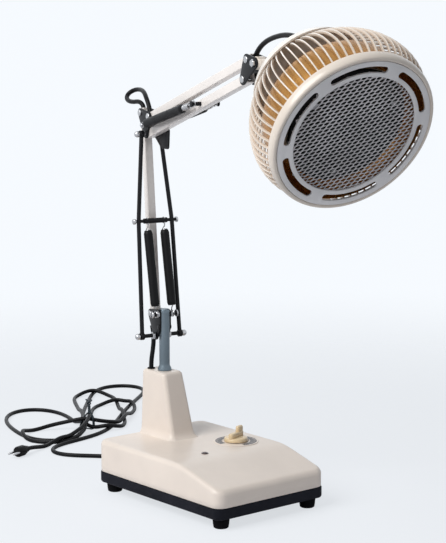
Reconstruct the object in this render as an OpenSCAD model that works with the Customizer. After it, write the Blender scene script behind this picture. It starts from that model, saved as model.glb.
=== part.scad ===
// Table-top infrared heat lamp: weighted base with a timer, sprung double arm and a caged round head.
// Millimetres, +Z up. The front of the base faces -Y.

/* [Base] */
// Width of the base, side to side
base_w = 205; // [200:1:215]
// Depth of the base, front to rear
base_d = 288; // [280:1:300]
// Height of the deck above the floor at the rear
deck_z = 80.5; // [78:0.5:86]
// Height of the deck above the floor at its front edge
front_z = 56.7; // [54:0.5:62]
// Height of the rubber feet
foot_h = 14.7; // [12:0.1:15]
// Height of the black tray
tray_h = 17.5; // [16:0.5:18]
// Wall of the plastic mouldings
wall = 2.5; // [2:0.1:3]

/* [Pedestal] */
// Height of the pedestal's top above the floor
pedestal_z = 179; // [170:1:185]
// Width of the pedestal at its top
pedestal_w = 38; // [36:1:42]
// Distance of the stem behind the middle of the base
stem_y = 108; // [105:0.5:110]

/* [Timer] */
// Place of the knob on the deck, to the right of the middle
dial_x = 50; // [40:1:55]
// Place of the knob on the deck, behind the middle
dial_y = -2; // [-8:1:5]
// Diameter of the dial ring
dial_d = 68; // [60:1:70]

/* [Arm] */
// Turn of the stem away from straight ahead, towards the left of the base
heading = 12; // [0:1:25]
// Backward lean of the lower arm
lower_lean = 5.9; // [2:0.1:9]
// Length of the lower arm between its pivots
lower_len = 307; // [290:1:320]
// Rise of the upper arm over the horizontal
upper_rise = 17; // [8:0.5:24]
// Length of the upper arm between its pivots
upper_len = 323; // [300:1:340]
// Side of the square bars
bar_w = 13; // [12:0.5:13]
// Diameter of the side rods
rod_d = 6.5; // [5:0.1:7]
// Diameter of the stem
stem_d = 16; // [15.6:0.1:16.4]

/* [Head] */
// Droop of the head's axis under the horizontal
droop = 29.5; // [20:0.5:45]
// Outer radius of the front ring
ring_r = 106; // [104:0.5:107]
// Radius of the opening behind which the mesh lies
opening_r = 84; // [82:0.5:85]
// Number of ribs around the cage
rib_count = 68; // [56:1:72]
// Width of one rib of the cage
rib_w = 2.6; // [2:0.1:4]

/* [Hidden] */
$fn = 48;
soft = 32; // facets of a round child of hull()

// Place of the middle of the base, so that the origin is under the middle of the whole lamp
base_x = 63.3;
base_y = 127.7;

// Levels of the base
tray_z = foot_h;
seam_z = tray_z + tray_h;
slope_y = -55.7;
corner_r = 12;
foot_inset = 18;
foot_r = 12.5;
post_inset = 13;
post_inset_y = 36;
screw_r = 1.9;
fit = 0.05;
run_fit = 0.06;
ballast_h = 14;
ballast_w = 166;
ballast_y0 = -50;
ballast_y1 = 112;

// Pedestal, in the base's own coordinates
ped_front = 86;
ped_rear = 141.5;
ped_foot_front = 60;
ped_foot_w = 46;
ped_corner = 7;
stem_foot_z = 100;
stem_top_z = 274;
grommet_xy = [-8, 131];
cable_r = 3.4;
socket_screw_x = 13.6;

// Arm points as [forward, up] in the plane of the arm, from the stem's axis
axle = [-12, 232];
lower_link = [-19, 31];
upper_link = [10, 27];
spring_bar_at = [0, 266];
rivet_at = [0, 246];
function along(start, angle, length) = start + length * [sin(angle), cos(angle)];
elbow_at = along(axle, -lower_lean, lower_len);
upper_pin_run = 187;
cross_run = 175;
tube_foot = axle + lower_link;
tube_head = elbow_at + lower_link;
cross_at = along(axle, -lower_lean, cross_run);
bar_tilt = 90 - upper_rise;
wrist_at = along(elbow_at, bar_tilt, upper_len);
top_rear = elbow_at + upper_link;
top_front = wrist_at + upper_link;
hook_at = elbow_at + [6, 14];
spring_pin_at = along(elbow_at, bar_tilt, upper_pin_run);
tilt_at = wrist_at + [32, 23];

// Sideways stations of the arm
plate_in = 7;
plate_t = 2.5;
plate_out = plate_in + plate_t;
rod_y_axle = 32;
rod_y_elbow = 16;
rod_y_cross = 28;
eye_w = 6;
lower_spring_y = 14;
upper_spring_y = 17.5;
sleeve_r = 6.4;
pin_r = 3;
bar_wall = 1.5;

// Head, in its own coordinates: the front ring's face is at 0 and everything else is behind it
face_at = [539.4, 573.7];
mesh_z = -7;
apex_z = -160;
cap_z = -116;
cap_r = 82;

// Cord
cord_r = 3.4;
gland_at = [45, 144, 46];
cord_route = [[45, 180, 46], [45, 194, 44.5], [45, 208, 38], [44.5, 222, 28], [43.5, 236, 17], [41, 251, 8],
    [36, 268, 4], [27, 285, 3.5], [14, 302, 3.5], [-3, 317, 3.5], [-20, 332, 3.5], [-31, 349, 3.5],
    [-34, 368, 3.5], [-28, 387, 3.5], [-14, 402, 3.5], [8, 415, 3.5]];
tail_route = [[3, 428, 3.5], [-14, 425, 4.5], [-30, 418, 6.5], [-46, 408, 8.4], [-60, 398, 9]];
plug_turn = 54;
// The tied hank: two fans of loops that meet at the tie, as [near end, far end] of each
hank_fans = [[[42, 436], [100, 612]], [[112, 446], [326, 680]]];
hank_r = [[40, 52], [42, 58]];
hank_h = 26;

// ---------- placing ----------

module in_base() translate([base_x, base_y, 0]) children();

// x forward along the arm, y to its right, z up, from the stem's axis
module in_arm() in_base() translate([0, stem_y, 0]) rotate([0, 0, -90 - heading]) children();

// z out of the front ring's face
module in_head() in_arm() translate([face_at[0], 0, face_at[1]]) rotate([0, 90 + droop, 0]) children();

module at(p, y = 0) translate([p[0], y, p[1]]) children();

// A rod along y, centred on y
module cross_rod(p, r, length, y = 0) at(p, y) rotate([90, 0, 0]) cylinder(r = r, h = length, center = true);

module mirrored() {
    children();
    mirror([0, 1, 0]) children();
}

// A plate in the plane of the arm, from y0 to y0 + t, round about the given points
module plate(points, r, y0, t) {
    translate([0, y0 + t, 0]) rotate([90, 0, 0]) linear_extrude(t) hull() {
        for (p = points) translate(p) circle(r, $fn = soft);
    }
}

module rounded_box(w, d, h, r) {
    linear_extrude(h) hull() {
        for (x = [-1, 1], y = [-1, 1]) translate([x * (w / 2 - r), y * (d / 2 - r)]) circle(r, $fn = soft);
    }
}

// One closed tube of round section swept along a route, its rings square to the route
function unit(v) = v / norm(v);
function heading_at(pts, i) = unit(pts[min(i + 1, len(pts) - 1)] - pts[max(i - 1, 0)]);
function ring_at(pts, i, r, sides) =
    let (t = heading_at(pts, i))
    let (side = unit(cross(t, abs(t[2]) > 0.9 ? [0, 1, 0] : [0, 0, 1])), up = cross(side, t))
    [for (k = [0 : sides - 1]) pts[i] + r * (cos(360 * k / sides) * side + sin(360 * k / sides) * up)];
module swept_tube(pts, r, sides = 8) {
    n = len(pts);
    rings = [for (i = [0 : n - 1]) each ring_at(pts, i, r, sides)];
    walls = [for (i = [0 : n - 2], k = [0 : sides - 1])
        let (a = i * sides + k, b = i * sides + (k + 1) % sides)
            each [[a, b, b + sides], [a, b + sides, a + sides]]];
    ends = [[for (k = [sides - 1 : -1 : 0]) k], [for (k = [0 : sides - 1]) (n - 1) * sides + k]];
    polyhedron(points = rings, faces = concat(walls, ends), convexity = 6);
}

// ---------- base ----------

module post_places() for (x = [-1, 1], y = [-1, 1])
    translate([x * (base_w / 2 - post_inset), y * (base_d / 2 - post_inset_y), 0]) children();

module foot_places() for (x = [-1, 1], y = [-1, 1])
    translate([x * (base_w / 2 - foot_inset - 2), y * (base_d / 2 - foot_inset), 0]) children();

module ballast_places() for (x = [-1, 1], y = [ballast_y0 + 16, ballast_y1 - 16])
    translate([x * 70, y, 0]) children();

module bottom_tray() color([0.12, 0.11, 0.16]) in_base() difference() {
    union() {
        translate([0, 0, tray_z]) rounded_box(base_w - 1, base_d - 1, tray_h, corner_r);
        translate([0, 0, tray_z])
            rounded_box(base_w - 2 * wall - 2, base_d - 2 * wall - 2, tray_h + 4, corner_r - 3);
    }
    translate([0, 0, tray_z + wall])
        rounded_box(base_w - 4 * wall - 2, base_d - 4 * wall - 2, tray_h + 10, corner_r - 5);
    post_places() translate([0, 0, tray_z - 1]) cylinder(r = screw_r + fit, h = 60);
    foot_places() translate([0, 0, tray_z - 1]) cylinder(r = 3 + fit, h = 10);
    ballast_places() translate([0, 0, tray_z - 1]) cylinder(r = screw_r + fit, h = 10);
}

module rubber_feet() color([0.1, 0.1, 0.11]) in_base() foot_places() {
    cylinder(r = foot_r, h = tray_z);
    translate([0, 0, tray_z - 1]) cylinder(r = 3, h = 1 + wall);
}

// Side view of the housing, inset by w
module deck_profile(w) rotate([90, 0, 90]) linear_extrude(base_w + 20, center = true)
    polygon([[-base_d / 2 - 5, seam_z - 1], [base_d / 2 + 5, seam_z - 1], [base_d / 2 + 5, deck_z - w],
        [slope_y, deck_z - w], [-base_d / 2, front_z - w], [-base_d / 2 - 5, front_z - w]]);

// Pedestal, shrunk by w on every side
module pedestal(w) hull() {
    for (x = [-1, 1], y = [ped_front, ped_rear])
        translate([x * (pedestal_w / 2 - ped_corner), y + (y == ped_front ? 1 : -1) * ped_corner, 0])
            translate([0, 0, pedestal_z - w - 2])
            cylinder(r = ped_corner - w, h = 2, $fn = soft);
    for (x = [-1, 1], y = [ped_foot_front, ped_rear])
        translate([x * (ped_foot_w / 2 - ped_corner), y + (y == ped_rear ? -1 : 1) * ped_corner, 0])
            translate([0, 0, deck_z - 6 - w])
            cylinder(r = ped_corner - w, h = 2, $fn = soft);
}

module base_housing() color([0.93, 0.87, 0.84]) in_base() difference() {
    union() {
        difference() {
            union() {
                intersection() {
                    translate([0, 0, seam_z]) rounded_box(base_w, base_d, 100, corner_r);
                    deck_profile(0);
                }
                pedestal(0);
            }
            intersection() {
                translate([0, 0, seam_z - 1])
                    rounded_box(base_w - 2 * wall, base_d - 2 * wall, 100, corner_r - wall);
                deck_profile(wall);
            }
            pedestal(3);
            translate([0, ped_rear - 30, seam_z + 20]) cube([ped_foot_w - 10, 50, 80], center = true);
        }
        intersection() {
            post_places() translate([0, 0, seam_z + 4]) cylinder(r = 4, h = 60);
            deck_profile(wall / 2);
        }
    }
    post_places() translate([0, 0, seam_z - 1]) cylinder(r = screw_r + fit, h = 16);
    translate([dial_x, dial_y, deck_z - 10]) cylinder(r = 4.5, h = 20);
    translate([pilot_at[0], pilot_at[1], deck_z - 10]) cylinder(r = 4 + fit, h = 20);
    translate([0, stem_y, pedestal_z - 10]) cylinder(r = stem_d / 2 + 0.6, h = 20);
    translate([grommet_xy[0], grommet_xy[1], pedestal_z - 10]) cylinder(r = cable_r + 1.2, h = 20);
    translate([gland_at[0], base_d / 2 - 10, gland_at[2]]) rotate([-90, 0, 0]) cylinder(r = 6 + fit, h = 20);
    for (x = [-1, 1]) translate([socket_screw_x * x, stem_y, pedestal_z - 4]) cylinder(r = 1.35, h = 2.4);
}

module pan_screw(length) {
    translate([0, 0, tray_z - 2.2]) cylinder(r = 3.6, h = 2.2);
    translate([0, 0, tray_z]) cylinder(r = screw_r, h = length);
}

pilot_at = [-33.5, -30];
module base_screws() color([0.6, 0.6, 0.62]) in_base() {
    post_places() pan_screw(27);
    ballast_places() pan_screw(ballast_h + wall);
}

module ballast_plate() color([0.25, 0.25, 0.27]) in_base() difference() {
    translate([-ballast_w / 2, ballast_y0, tray_z + wall])
        cube([ballast_w, ballast_y1 - ballast_y0, ballast_h]);
    ballast_places() cylinder(r = screw_r + fit, h = 80);
}

module dial_plate() color([0.25, 0.25, 0.27]) in_base() translate([dial_x, dial_y, deck_z]) difference() {
    cylinder(r = dial_d / 2, h = 0.8);
    translate([0, 0, -1]) cylinder(r = 20, h = 4);
}

module pilot_lamp() color([0.35, 0.08, 0.06]) in_base() translate([pilot_at[0], pilot_at[1], 0]) {
    translate([0, 0, deck_z - 14]) cylinder(r = 4, h = 14);
    translate([0, 0, deck_z]) cylinder(r = 5.2, h = 1.2);
    translate([0, 0, deck_z + 1.2]) cylinder(r1 = 4, r2 = 2.6, h = 1.4);
}

module timer_body() color([0.75, 0.7, 0.55]) in_base() translate([dial_x, dial_y, 0]) difference() {
    union() {
        translate([0, 0, deck_z - wall - 36]) cylinder(r = 21, h = 36);
        translate([-25, -11, deck_z - wall - 2]) cube([50, 22, 2]);
    }
    translate([0, 0, deck_z - wall - 20]) cylinder(r = 3 + fit, h = 30);
}

module timer_shaft() color([0.7, 0.7, 0.72]) in_base() translate([dial_x, dial_y, 0])
    translate([0, 0, deck_z - wall - 19]) cylinder(r = 3, h = 19 + wall + 12);

module timer_knob() color([0.93, 0.88, 0.74]) in_base() translate([dial_x, dial_y, deck_z + 1.2]) difference() {
    union() {
        cylinder(r = 18, h = 5);
        rotate([0, 0, 20]) {
            translate([-18, -4.5, 4]) cube([36, 9, 9]);
            translate([4, -4, 12]) cube([12, 8, 9]);
        }
    }
    translate([0, 0, -1]) cylinder(r = 3, h = 11.8);
}

module terminal_block() color([0.85, 0.85, 0.8]) in_base() translate([-55, -92, tray_z + wall]) difference() {
    cube([48, 20, 16]);
    for (i = [0 : 3]) translate([7 + 11.3 * i, 10, 5]) cylinder(r = 2.2, h = 20);
}

module swivel_socket() color([0.55, 0.55, 0.58]) in_base() translate([0, stem_y, 0]) difference() {
    union() {
        translate([0, 0, stem_foot_z - 6]) cylinder(r = 11.5, h = pedestal_z - 3 - stem_foot_z + 6);
        translate([-15.8, -9, pedestal_z - 7]) cube([31.6, 18, 4]);
    }
    translate([0, 0, stem_foot_z]) cylinder(r = stem_d / 2 + run_fit, h = 120);
    for (x = [-1, 1]) translate([socket_screw_x * x, 0, pedestal_z - 20]) cylinder(r = 1.35, h = 30);
}

module socket_screws() color([0.7, 0.7, 0.72]) in_base() translate([0, stem_y, 0]) for (x = [-1, 1]) {
    translate([socket_screw_x * x, 0, pedestal_z - 9]) cylinder(r = 1.9, h = 2);
    translate([socket_screw_x * x, 0, pedestal_z - 8]) cylinder(r = 1.3, h = 6);
}

module cable_grommet() color([0.08, 0.08, 0.09]) in_base()
    translate([grommet_xy[0], grommet_xy[1], 0]) difference() {
    union() {
        translate([0, 0, pedestal_z - 5]) cylinder(r = cable_r + 1.15, h = 6);
        translate([0, 0, pedestal_z]) cylinder(r = cable_r + 2.6, h = 1.6);
    }
    translate([0, 0, pedestal_z - 6]) cylinder(r = cable_r + fit, h = 20);
}

module cord_gland() color([0.07, 0.07, 0.08]) in_base() translate(gland_at) rotate([-90, 0, 0]) {
    translate([0, 0, -8]) cylinder(r = 6, h = 9);
    cylinder(r = 8.5, h = 3);
    translate([0, 0, 3]) cylinder(r1 = 6.5, r2 = 4.2, h = 33);
}

// ---------- stem and lower arm ----------

module stem() color([0.45, 0.5, 0.56]) in_arm() difference() {
    union() {
        translate([0, 0, stem_foot_z]) cylinder(r = stem_d / 2, h = stem_top_z - stem_foot_z);
        translate([0, 0, pedestal_z + 0.4]) cylinder(r1 = 10.5, r2 = stem_d / 2, h = 7);
    }
    for (side = [-1, 1]) translate([0, side * (plate_in + 10), 270]) cube([40, 20, 96], center = true);
    cross_rod(spring_bar_at, pin_r + fit, 60);
    cross_rod(rivet_at, 2.5 + fit, 60);
}

module lever_plates() color([0.08, 0.08, 0.1]) in_arm() mirrored() difference() {
    plate([axle, tube_foot, spring_bar_at + [-3, 0], rivet_at + [-3, 0]], 7, plate_in, plate_t);
    cross_rod(axle, pin_r + fit, 60);
    cross_rod(tube_foot, pin_r + fit, 60);
    cross_rod(spring_bar_at, pin_r + fit, 60);
    cross_rod(rivet_at, 2.5 + fit, 60);
}

module stem_rivet() color([0.1, 0.1, 0.12]) in_arm() {
    cross_rod(rivet_at, 2.5, 2 * plate_out);
    for (side = [-1, 1]) cross_rod(rivet_at, 4, 1.4, side * (plate_out + 0.7));
}

module tube_pivot_pin() color([0.75, 0.76, 0.78]) in_arm() {
    cross_rod(tube_foot, pin_r, 2 * plate_out);
    for (side = [-1, 1]) cross_rod(tube_foot, 4.6, 1.6, side * (plate_out + 0.8));
}

module rod_axle() color([0.3, 0.3, 0.32]) in_arm() cross_rod(axle, pin_r, 2 * (rod_y_axle + 4.5));

// Round chrome nuts at the ends and hexagon nuts against the plates
module axle_nuts() color([0.85, 0.85, 0.87]) in_arm() mirrored() {
    difference() {
        at(axle, rod_y_axle + 7.5) sphere(r = 5);
        cross_rod(axle, pin_r, 9, rod_y_axle);
    }
    difference() {
        at(axle, plate_out + 4) rotate([90, 0, 0]) cylinder(r = 6.2, h = 4, $fn = 6);
        cross_rod(axle, pin_r, 40, plate_out);
    }
}

module spring_bar() color([0.08, 0.08, 0.1]) in_arm() cross_rod(spring_bar_at, pin_r, 2 * 21);

module spring_bar_nuts() color([0.85, 0.85, 0.87]) in_arm() mirrored()
    for (y = [plate_out + 1.6, 21]) difference() {
    cross_rod(spring_bar_at, 5.4, 2.8, y);
    cross_rod(spring_bar_at, pin_r, 80);
}

module rod_eye(p, y, clearance) difference() {
    cross_rod(p, 5.4, eye_w, y);
    cross_rod(p, pin_r + clearance, eye_w + 2, y);
}

// The rods bend inwards where the cross bar goes through them
module side_rods() color([0.07, 0.07, 0.09]) in_arm() mirrored() {
    low = along(axle, -lower_lean, 5);
    high = along(elbow_at, -lower_lean, -5);
    difference() {
        union() {
            swept_tube([[low[0], rod_y_axle - 0.3, low[1]], [cross_at[0], rod_y_cross, cross_at[1]],
                [high[0], rod_y_elbow + 0.3, high[1]]], rod_d / 2, 24);
            cross_rod(axle, 5.4, eye_w, rod_y_axle);
            cross_rod(elbow_at, 5.4, eye_w, rod_y_elbow);
        }
        cross_rod(axle, pin_r + run_fit, eye_w + 4, rod_y_axle);
        cross_rod(elbow_at, pin_r + 0.1, eye_w + 4, rod_y_elbow);
        cross_rod(cross_at, 2.5 + fit, 100);
    }
}

module cross_bar() color([0.1, 0.1, 0.12]) in_arm() {
    cross_rod(cross_at, 2.5, 2 * 38);
    cross_rod(cross_at, 4, 2 * 19.5);
}

module cross_bar_nuts() color([0.8, 0.8, 0.82]) in_arm() mirrored() difference() {
    cross_rod(cross_at, 4.4, 4, 36);
    cross_rod(cross_at, 2.5, 80);
}

// A square tube between two points of the arm's plane, open at both ends
module square_tube(a, b, overrun) {
    v = b - a;
    length = norm(v);
    at(a) rotate([0, atan2(v[0], v[1]), 0]) difference() {
        translate([-bar_w / 2, -bar_w / 2, -overrun]) cube([bar_w, bar_w, length + 2 * overrun]);
        translate([-bar_w / 2 + bar_wall, -bar_w / 2 + bar_wall, -overrun - 1])
            cube([bar_w - 2 * bar_wall, bar_w - 2 * bar_wall, length + 2 * overrun + 2]);
        for (z = [0, length]) translate([0, 0, z]) rotate([90, 0, 0])
            cylinder(r = pin_r + 0.1, h = 40, center = true);
        children();
    }
}

module lower_tube() color([0.96, 0.93, 0.92]) in_arm() square_tube(tube_foot, tube_head, 7.5);

// A coil spring's outline with a hook eye at both ends, along z
module spring_core(length, r) {
    translate([0, 0, 15]) cylinder(r = r, h = length - 30);
    for (z = [0, length]) {
        translate([0, 0, z]) rotate([90, 0, 0]) difference() {
            cylinder(r = 5.6, h = 2, center = true);
            cylinder(r = 4.1, h = 4, center = true);
        }
    }
    translate([0, 0, 4.8]) cylinder(r = 1.4, h = 11);
    translate([0, 0, length - 15.8]) cylinder(r = 1.4, h = 11);
}

module along_lower_spring() {
    v = cross_at - spring_bar_at;
    at(spring_bar_at) rotate([0, atan2(v[0], v[1]), 0]) children();
}
lower_spring_len = norm(cross_at - spring_bar_at);

module lower_springs() color([0.8, 0.8, 0.82]) in_arm() for (side = [-1, 1])
    along_lower_spring() translate([0, side * lower_spring_y, 0]) spring_core(lower_spring_len, 5);

module lower_spring_sleeves() color([0.06, 0.06, 0.08]) in_arm() for (side = [-1, 1])
    along_lower_spring() translate([0, side * lower_spring_y, 17]) difference() {
        cylinder(r = sleeve_r, h = lower_spring_len - 34);
        translate([0, 0, -1]) cylinder(r = 5 + fit, h = lower_spring_len);
    }

// ---------- elbow and upper arm ----------

module elbow_bores() {
    for (p = [elbow_at, tube_head, top_rear, hook_at]) cross_rod(p, pin_r + fit, 60);
}

module elbow_plate_near() color([0.08, 0.08, 0.1]) in_arm() difference() {
    plate([elbow_at, tube_head, top_rear], 7, -plate_out, plate_t);
    elbow_bores();
}

// The far plate reaches forward and down in a lobe
module elbow_plate_far() color([0.08, 0.08, 0.1]) in_arm() difference() {
    union() {
        plate([elbow_at, tube_head, top_rear], 7, plate_in, plate_t);
        plate([elbow_at, elbow_at + [42, 6], elbow_at + [40, -16], elbow_at + [22, -16]], 5, plate_in, plate_t);
    }
    elbow_bores();
}

module elbow_pins() color([0.75, 0.76, 0.78]) in_arm() {
    cross_rod(elbow_at, pin_r, 2 * (rod_y_elbow + 4));
    cross_rod(tube_head, pin_r, 2 * plate_out);
    cross_rod(top_rear, pin_r, 2 * plate_out);
    for (side = [-1, 1]) cross_rod(hook_at, pin_r, 13.5, side * (plate_in + 6.75));
}

module elbow_nuts() color([0.85, 0.85, 0.87]) in_arm() mirrored() {
    difference() {
        at(elbow_at, rod_y_elbow + 7) sphere(r = 5);
        cross_rod(elbow_at, pin_r, 8, rod_y_elbow);
    }
    for (p = [tube_head, top_rear]) difference() {
        cross_rod(p, 5, 2.4, plate_out + 1.2);
        cross_rod(p, pin_r, 60);
    }
}

module lower_bar() color([0.96, 0.93, 0.92]) in_arm() square_tube(elbow_at, wrist_at, 7)
    translate([0, 0, upper_pin_run]) rotate([90, 0, 0]) cylinder(r = pin_r + fit, h = 40, center = true);

module top_bar() color([0.96, 0.93, 0.92]) in_arm() square_tube(top_rear, top_front, 7);

module spring_pin() color([0.3, 0.3, 0.32]) in_arm() {
    cross_rod(spring_pin_at, pin_r, 42);
    for (side = [-1, 1]) cross_rod(spring_pin_at, 4.5, 2, side * 22);
}

module along_upper_spring() {
    v = spring_pin_at - hook_at;
    at(hook_at) rotate([0, atan2(v[0], v[1]), 0]) children();
}
upper_spring_len = norm(spring_pin_at - hook_at);

module upper_springs() color([0.8, 0.8, 0.82]) in_arm() for (side = [-1, 1])
    along_upper_spring() translate([0, side * upper_spring_y, 0]) spring_core(upper_spring_len, 5);

module upper_spring_sleeves() color([0.06, 0.06, 0.08]) in_arm() for (side = [-1, 1])
    along_upper_spring() translate([0, side * upper_spring_y, 17]) difference() {
        cylinder(r = sleeve_r, h = 120);
        translate([0, 0, -1]) cylinder(r = 5 + fit, h = 140);
    }

// ---------- head ----------

module head_brackets() color([0.08, 0.08, 0.1]) in_arm() mirrored() difference() {
    plate([wrist_at, top_front, tilt_at], 8, plate_in, plate_t);
    for (p = [wrist_at, top_front, tilt_at]) cross_rod(p, pin_r + fit, 60);
}

module bracket_pins() color([0.75, 0.76, 0.78]) in_arm() for (p = [wrist_at, top_front]) {
    cross_rod(p, pin_r, 2 * plate_out);
    for (side = [-1, 1]) cross_rod(p, 5, 2, side * (plate_out + 1));
}

// Clamp bolt that the head tilts on, with a hexagon head and a nut
module tilt_bolt() color([0.75, 0.76, 0.78]) in_arm() {
    cross_rod(tilt_at, pin_r, 2 * plate_out);
    for (side = [-1, 1]) at(tilt_at, side * (plate_out + 2)) rotate([90, 0, 0])
        cylinder(r = 5.6, h = 4, center = true, $fn = 6);
}

neck_foot = [apex_z - 1, 24];
module head_neck() color([0.9, 0.87, 0.85]) {
    in_arm() difference() {
        cross_rod(tilt_at, 9, 2 * plate_in - 1);
        cross_rod(tilt_at, pin_r + run_fit, 40);
    }
    in_arm() difference() {
        union() {
            root = face_at + (apex_z - 4) * [cos(droop), -sin(droop)];
            v = root - tilt_at;
            at(tilt_at) rotate([0, atan2(v[0], v[1]), 0]) translate([0, 0, norm(v) / 2 + 2])
                cube([12, 11, norm(v) - 8], center = true);
        }
        cross_rod(tilt_at, 8.9, 40);
    }
    in_head() translate([0, 0, apex_z - 5]) cylinder(r = neck_foot[1], h = 5.4);
}

// Meridian of the head: radius against depth, from the dome's apex to the rolled rim
cap_line = [[0, apex_z], [24, apex_z + 0.5], [52, -149], [72, -132], [cap_r, cap_z]];
rib_depth = 4;
rib_line = [[cap_r - 3, cap_z - 1.5], [101, -90], [114, -66], [119.5, -44], [117, -27], [ring_r + 4, -16]];
function offset_line(pts, t) = [for (p = pts) [max(p[0] - t, 0), p[1] + t * 0.6]];
module shell_profile(pts, t) polygon(concat(pts, [for (i = [len(pts) - 1 : -1 : 0]) offset_line(pts, t)[i]]));

cable_hole = -38;
module dome_cap() color([0.97, 0.92, 0.88]) in_head() difference() {
    rotate_extrude($fn = 96) shell_profile(cap_line, 2.4);
    for (a = [0 : 90 : 270]) rotate([0, 0, a]) translate([15, 0, apex_z - 3]) cylinder(r = 2, h = 12);
    translate([cable_hole, 0, apex_z - 5]) cylinder(r = cable_r + 0.4, h = 40);
}

module cage_ribs() color([0.97, 0.92, 0.88]) in_head()
    for (i = [0 : rib_count - 1]) rotate([90, 0, (i + 0.5) * 360 / rib_count])
        linear_extrude(rib_w, center = true) shell_profile(rib_line, rib_depth);

// Rolled rim round the front ring
module cage_rim() color([0.97, 0.92, 0.88]) in_head() rotate_extrude($fn = 96)
    polygon([[ring_r - 1.6, -7], [ring_r + 0.1, -3], [ring_r + 0.1, -0.6], [ring_r + 2, 0.6],
        [ring_r + 4.7, -0.8], [ring_r + 6.3, -5], [ring_r + 6.7, -12], [ring_r + 6.1, -18], [ring_r + 2.7, -18],
        [ring_r + 2.1, -9]]);

slot_mid_r = 94.2;
slot_half = 4.9;
slot_arc = 43;
slot_turn = 13;
module front_ring() color([0.7, 0.69, 0.72]) in_head() difference() {
    union() {
        translate([0, 0, -3]) cylinder(r = ring_r, h = 3, $fn = 96);
        translate([0, 0, -7]) cylinder(r = ring_r - 2, h = 5, $fn = 96);
    }
    translate([0, 0, -20]) cylinder(r = opening_r, h = 40, $fn = 96);
    translate([0, 0, -8]) cylinder(r = ring_r - 4.5, h = 5.2, $fn = 96);
    for (k = [0 : 5]) rotate([0, 0, 60 * k + slot_turn]) {
        rotate([0, 0, -slot_arc / 2]) translate([0, 0, -5]) rotate_extrude(angle = slot_arc, $fn = 96)
            translate([slot_mid_r - slot_half, 0]) square([2 * slot_half, 8]);
        for (side = [-1, 1]) rotate([0, 0, side * slot_arc / 2]) translate([slot_mid_r, 0, -5])
            cylinder(r = slot_half, h = 8);
    }
}

mesh_r = opening_r + 4;
cell = [22, 11];
module mesh_grille() color([0.6, 0.6, 0.66]) in_head()
    translate([0, 0, mesh_z + 2.4]) linear_extrude(1.2) difference() {
    circle(mesh_r, $fn = 96);
    for (i = [-4 : 4], j = [-8 : 8]) {
        c = [cell[0] * (i + (j % 2 == 0 ? 0 : 0.5)), cell[1] * j * 0.9];
        if (norm(c) < opening_r - 10) translate(c) polygon([[8.5, 0], [0, 4.2], [-8.5, 0], [0, -4.2]]);
    }
}

bowl_line = [[60, -86], [86, -80], [94, -70], [99.5, -40], [ring_r - 5.5, -8]];
module reflector() color([0.75, 0.5, 0.2]) in_head() difference() {
    rotate_extrude($fn = 96) shell_profile(bowl_line, 1.6);
    translate([0, 0, -120]) cylinder(r = 30, h = 20);
}

emitter_z = -24;
stud_z = -82.5;
module emitter_plate() color([0.2, 0.2, 0.22]) in_head() translate([0, 0, emitter_z]) difference() {
    cylinder(r = 81, h = 4, $fn = 96);
    for (a = [0 : 120 : 240]) rotate([0, 0, a]) translate([66, 0, -1]) cylinder(r = 2 + fit, h = 6);
}

module heater_coil() color([0.5, 0.3, 0.2]) in_head() translate([0, 0, emitter_z - 3.2])
    for (r = [22, 40, 56]) rotate_extrude() translate([r, 0]) circle(3, $fn = 24);

module insulation_disc() color([0.85, 0.83, 0.78]) in_head() translate([0, 0, emitter_z - 13]) difference() {
    cylinder(r = 80, h = 6, $fn = 96);
    for (a = [0 : 120 : 240]) rotate([0, 0, a]) translate([66, 0, -1]) cylinder(r = 2 + fit, h = 8);
}

module emitter_studs() color([0.7, 0.7, 0.72]) in_head() for (a = [0 : 120 : 240]) rotate([0, 0, a]) {
    translate([66, 0, stud_z]) cylinder(r = 2, h = emitter_z + 4 - stud_z);
    translate([66, 0, emitter_z + 4]) cylinder(r = 3.6, h = 2, $fn = 24);
}

module head_terminal() color([0.9, 0.9, 0.88]) in_head() translate([-20, -12, -140]) difference() {
    cube([28, 24, 16]);
    for (x = [7, 21]) translate([x, 12, 8]) cylinder(r = 3, h = 12);
}

// ---------- cables that the arm holds ----------

pedestal_cable_route = [[0, 0, 178], [0, 0, 184], [1, 0, 196], [4, 1, 208], [7, 3, 220], [9, 6, 232],
    [9, 9, 244]];
module pedestal_cable() color([0.08, 0.08, 0.1]) in_base()
    translate([grommet_xy[0], grommet_xy[1], 0]) swept_tube(pedestal_cable_route, cable_r);

elbow_cable_route = [[-62, -3, 580.5], [-67, -3.5, 584], [-78, -5, 584.5], [-92, -7, 583.5], [-106, -8, 584.5],
    [-117, -6, 589], [-121, 0, 595.5], [-113, 6, 600.5], [-97, 8, 601.5], [-78, 5, 598.5], [-61, 1, 590.5],
    [-51, 0, 580.5], [-47.5, 0, 574]];
module elbow_cable() color([0.08, 0.08, 0.1]) in_arm() swept_tube(elbow_cable_route, cable_r);

head_cable_route = [[284, 0, 664], [298, 0, 675], [316, 0, 684], [338, 0, 690], [360, 0, 693], [382, 0, 693],
    [402, 0, 690], [418, 0, 685]];
module head_cable() color([0.08, 0.08, 0.1]) in_arm() swept_tube(head_cable_route, cable_r);

// ---------- mains cord ----------

module mains_cord() color([0.07, 0.07, 0.08]) in_base() {
    swept_tube(cord_route, cord_r);
    swept_tube(tail_route, cord_r);
}

module cord_hank() color([0.07, 0.07, 0.08]) in_base() linear_extrude(hank_h)
    for (fan = [0, 1]) hull() {
        for (end = [0, 1]) translate(hank_fans[fan][end]) circle(hank_r[fan][end], $fn = soft);
    }

module in_plug() translate(tail_route[len(tail_route) - 1]) rotate([-90, 0, 90 + plug_turn]) children();

module plug_body() color([0.07, 0.07, 0.08]) in_base() in_plug() {
    cylinder(r1 = 4.6, r2 = 8, h = 12);
    translate([0, 0, 12]) cylinder(r = 8.8, h = 16);
}

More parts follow.
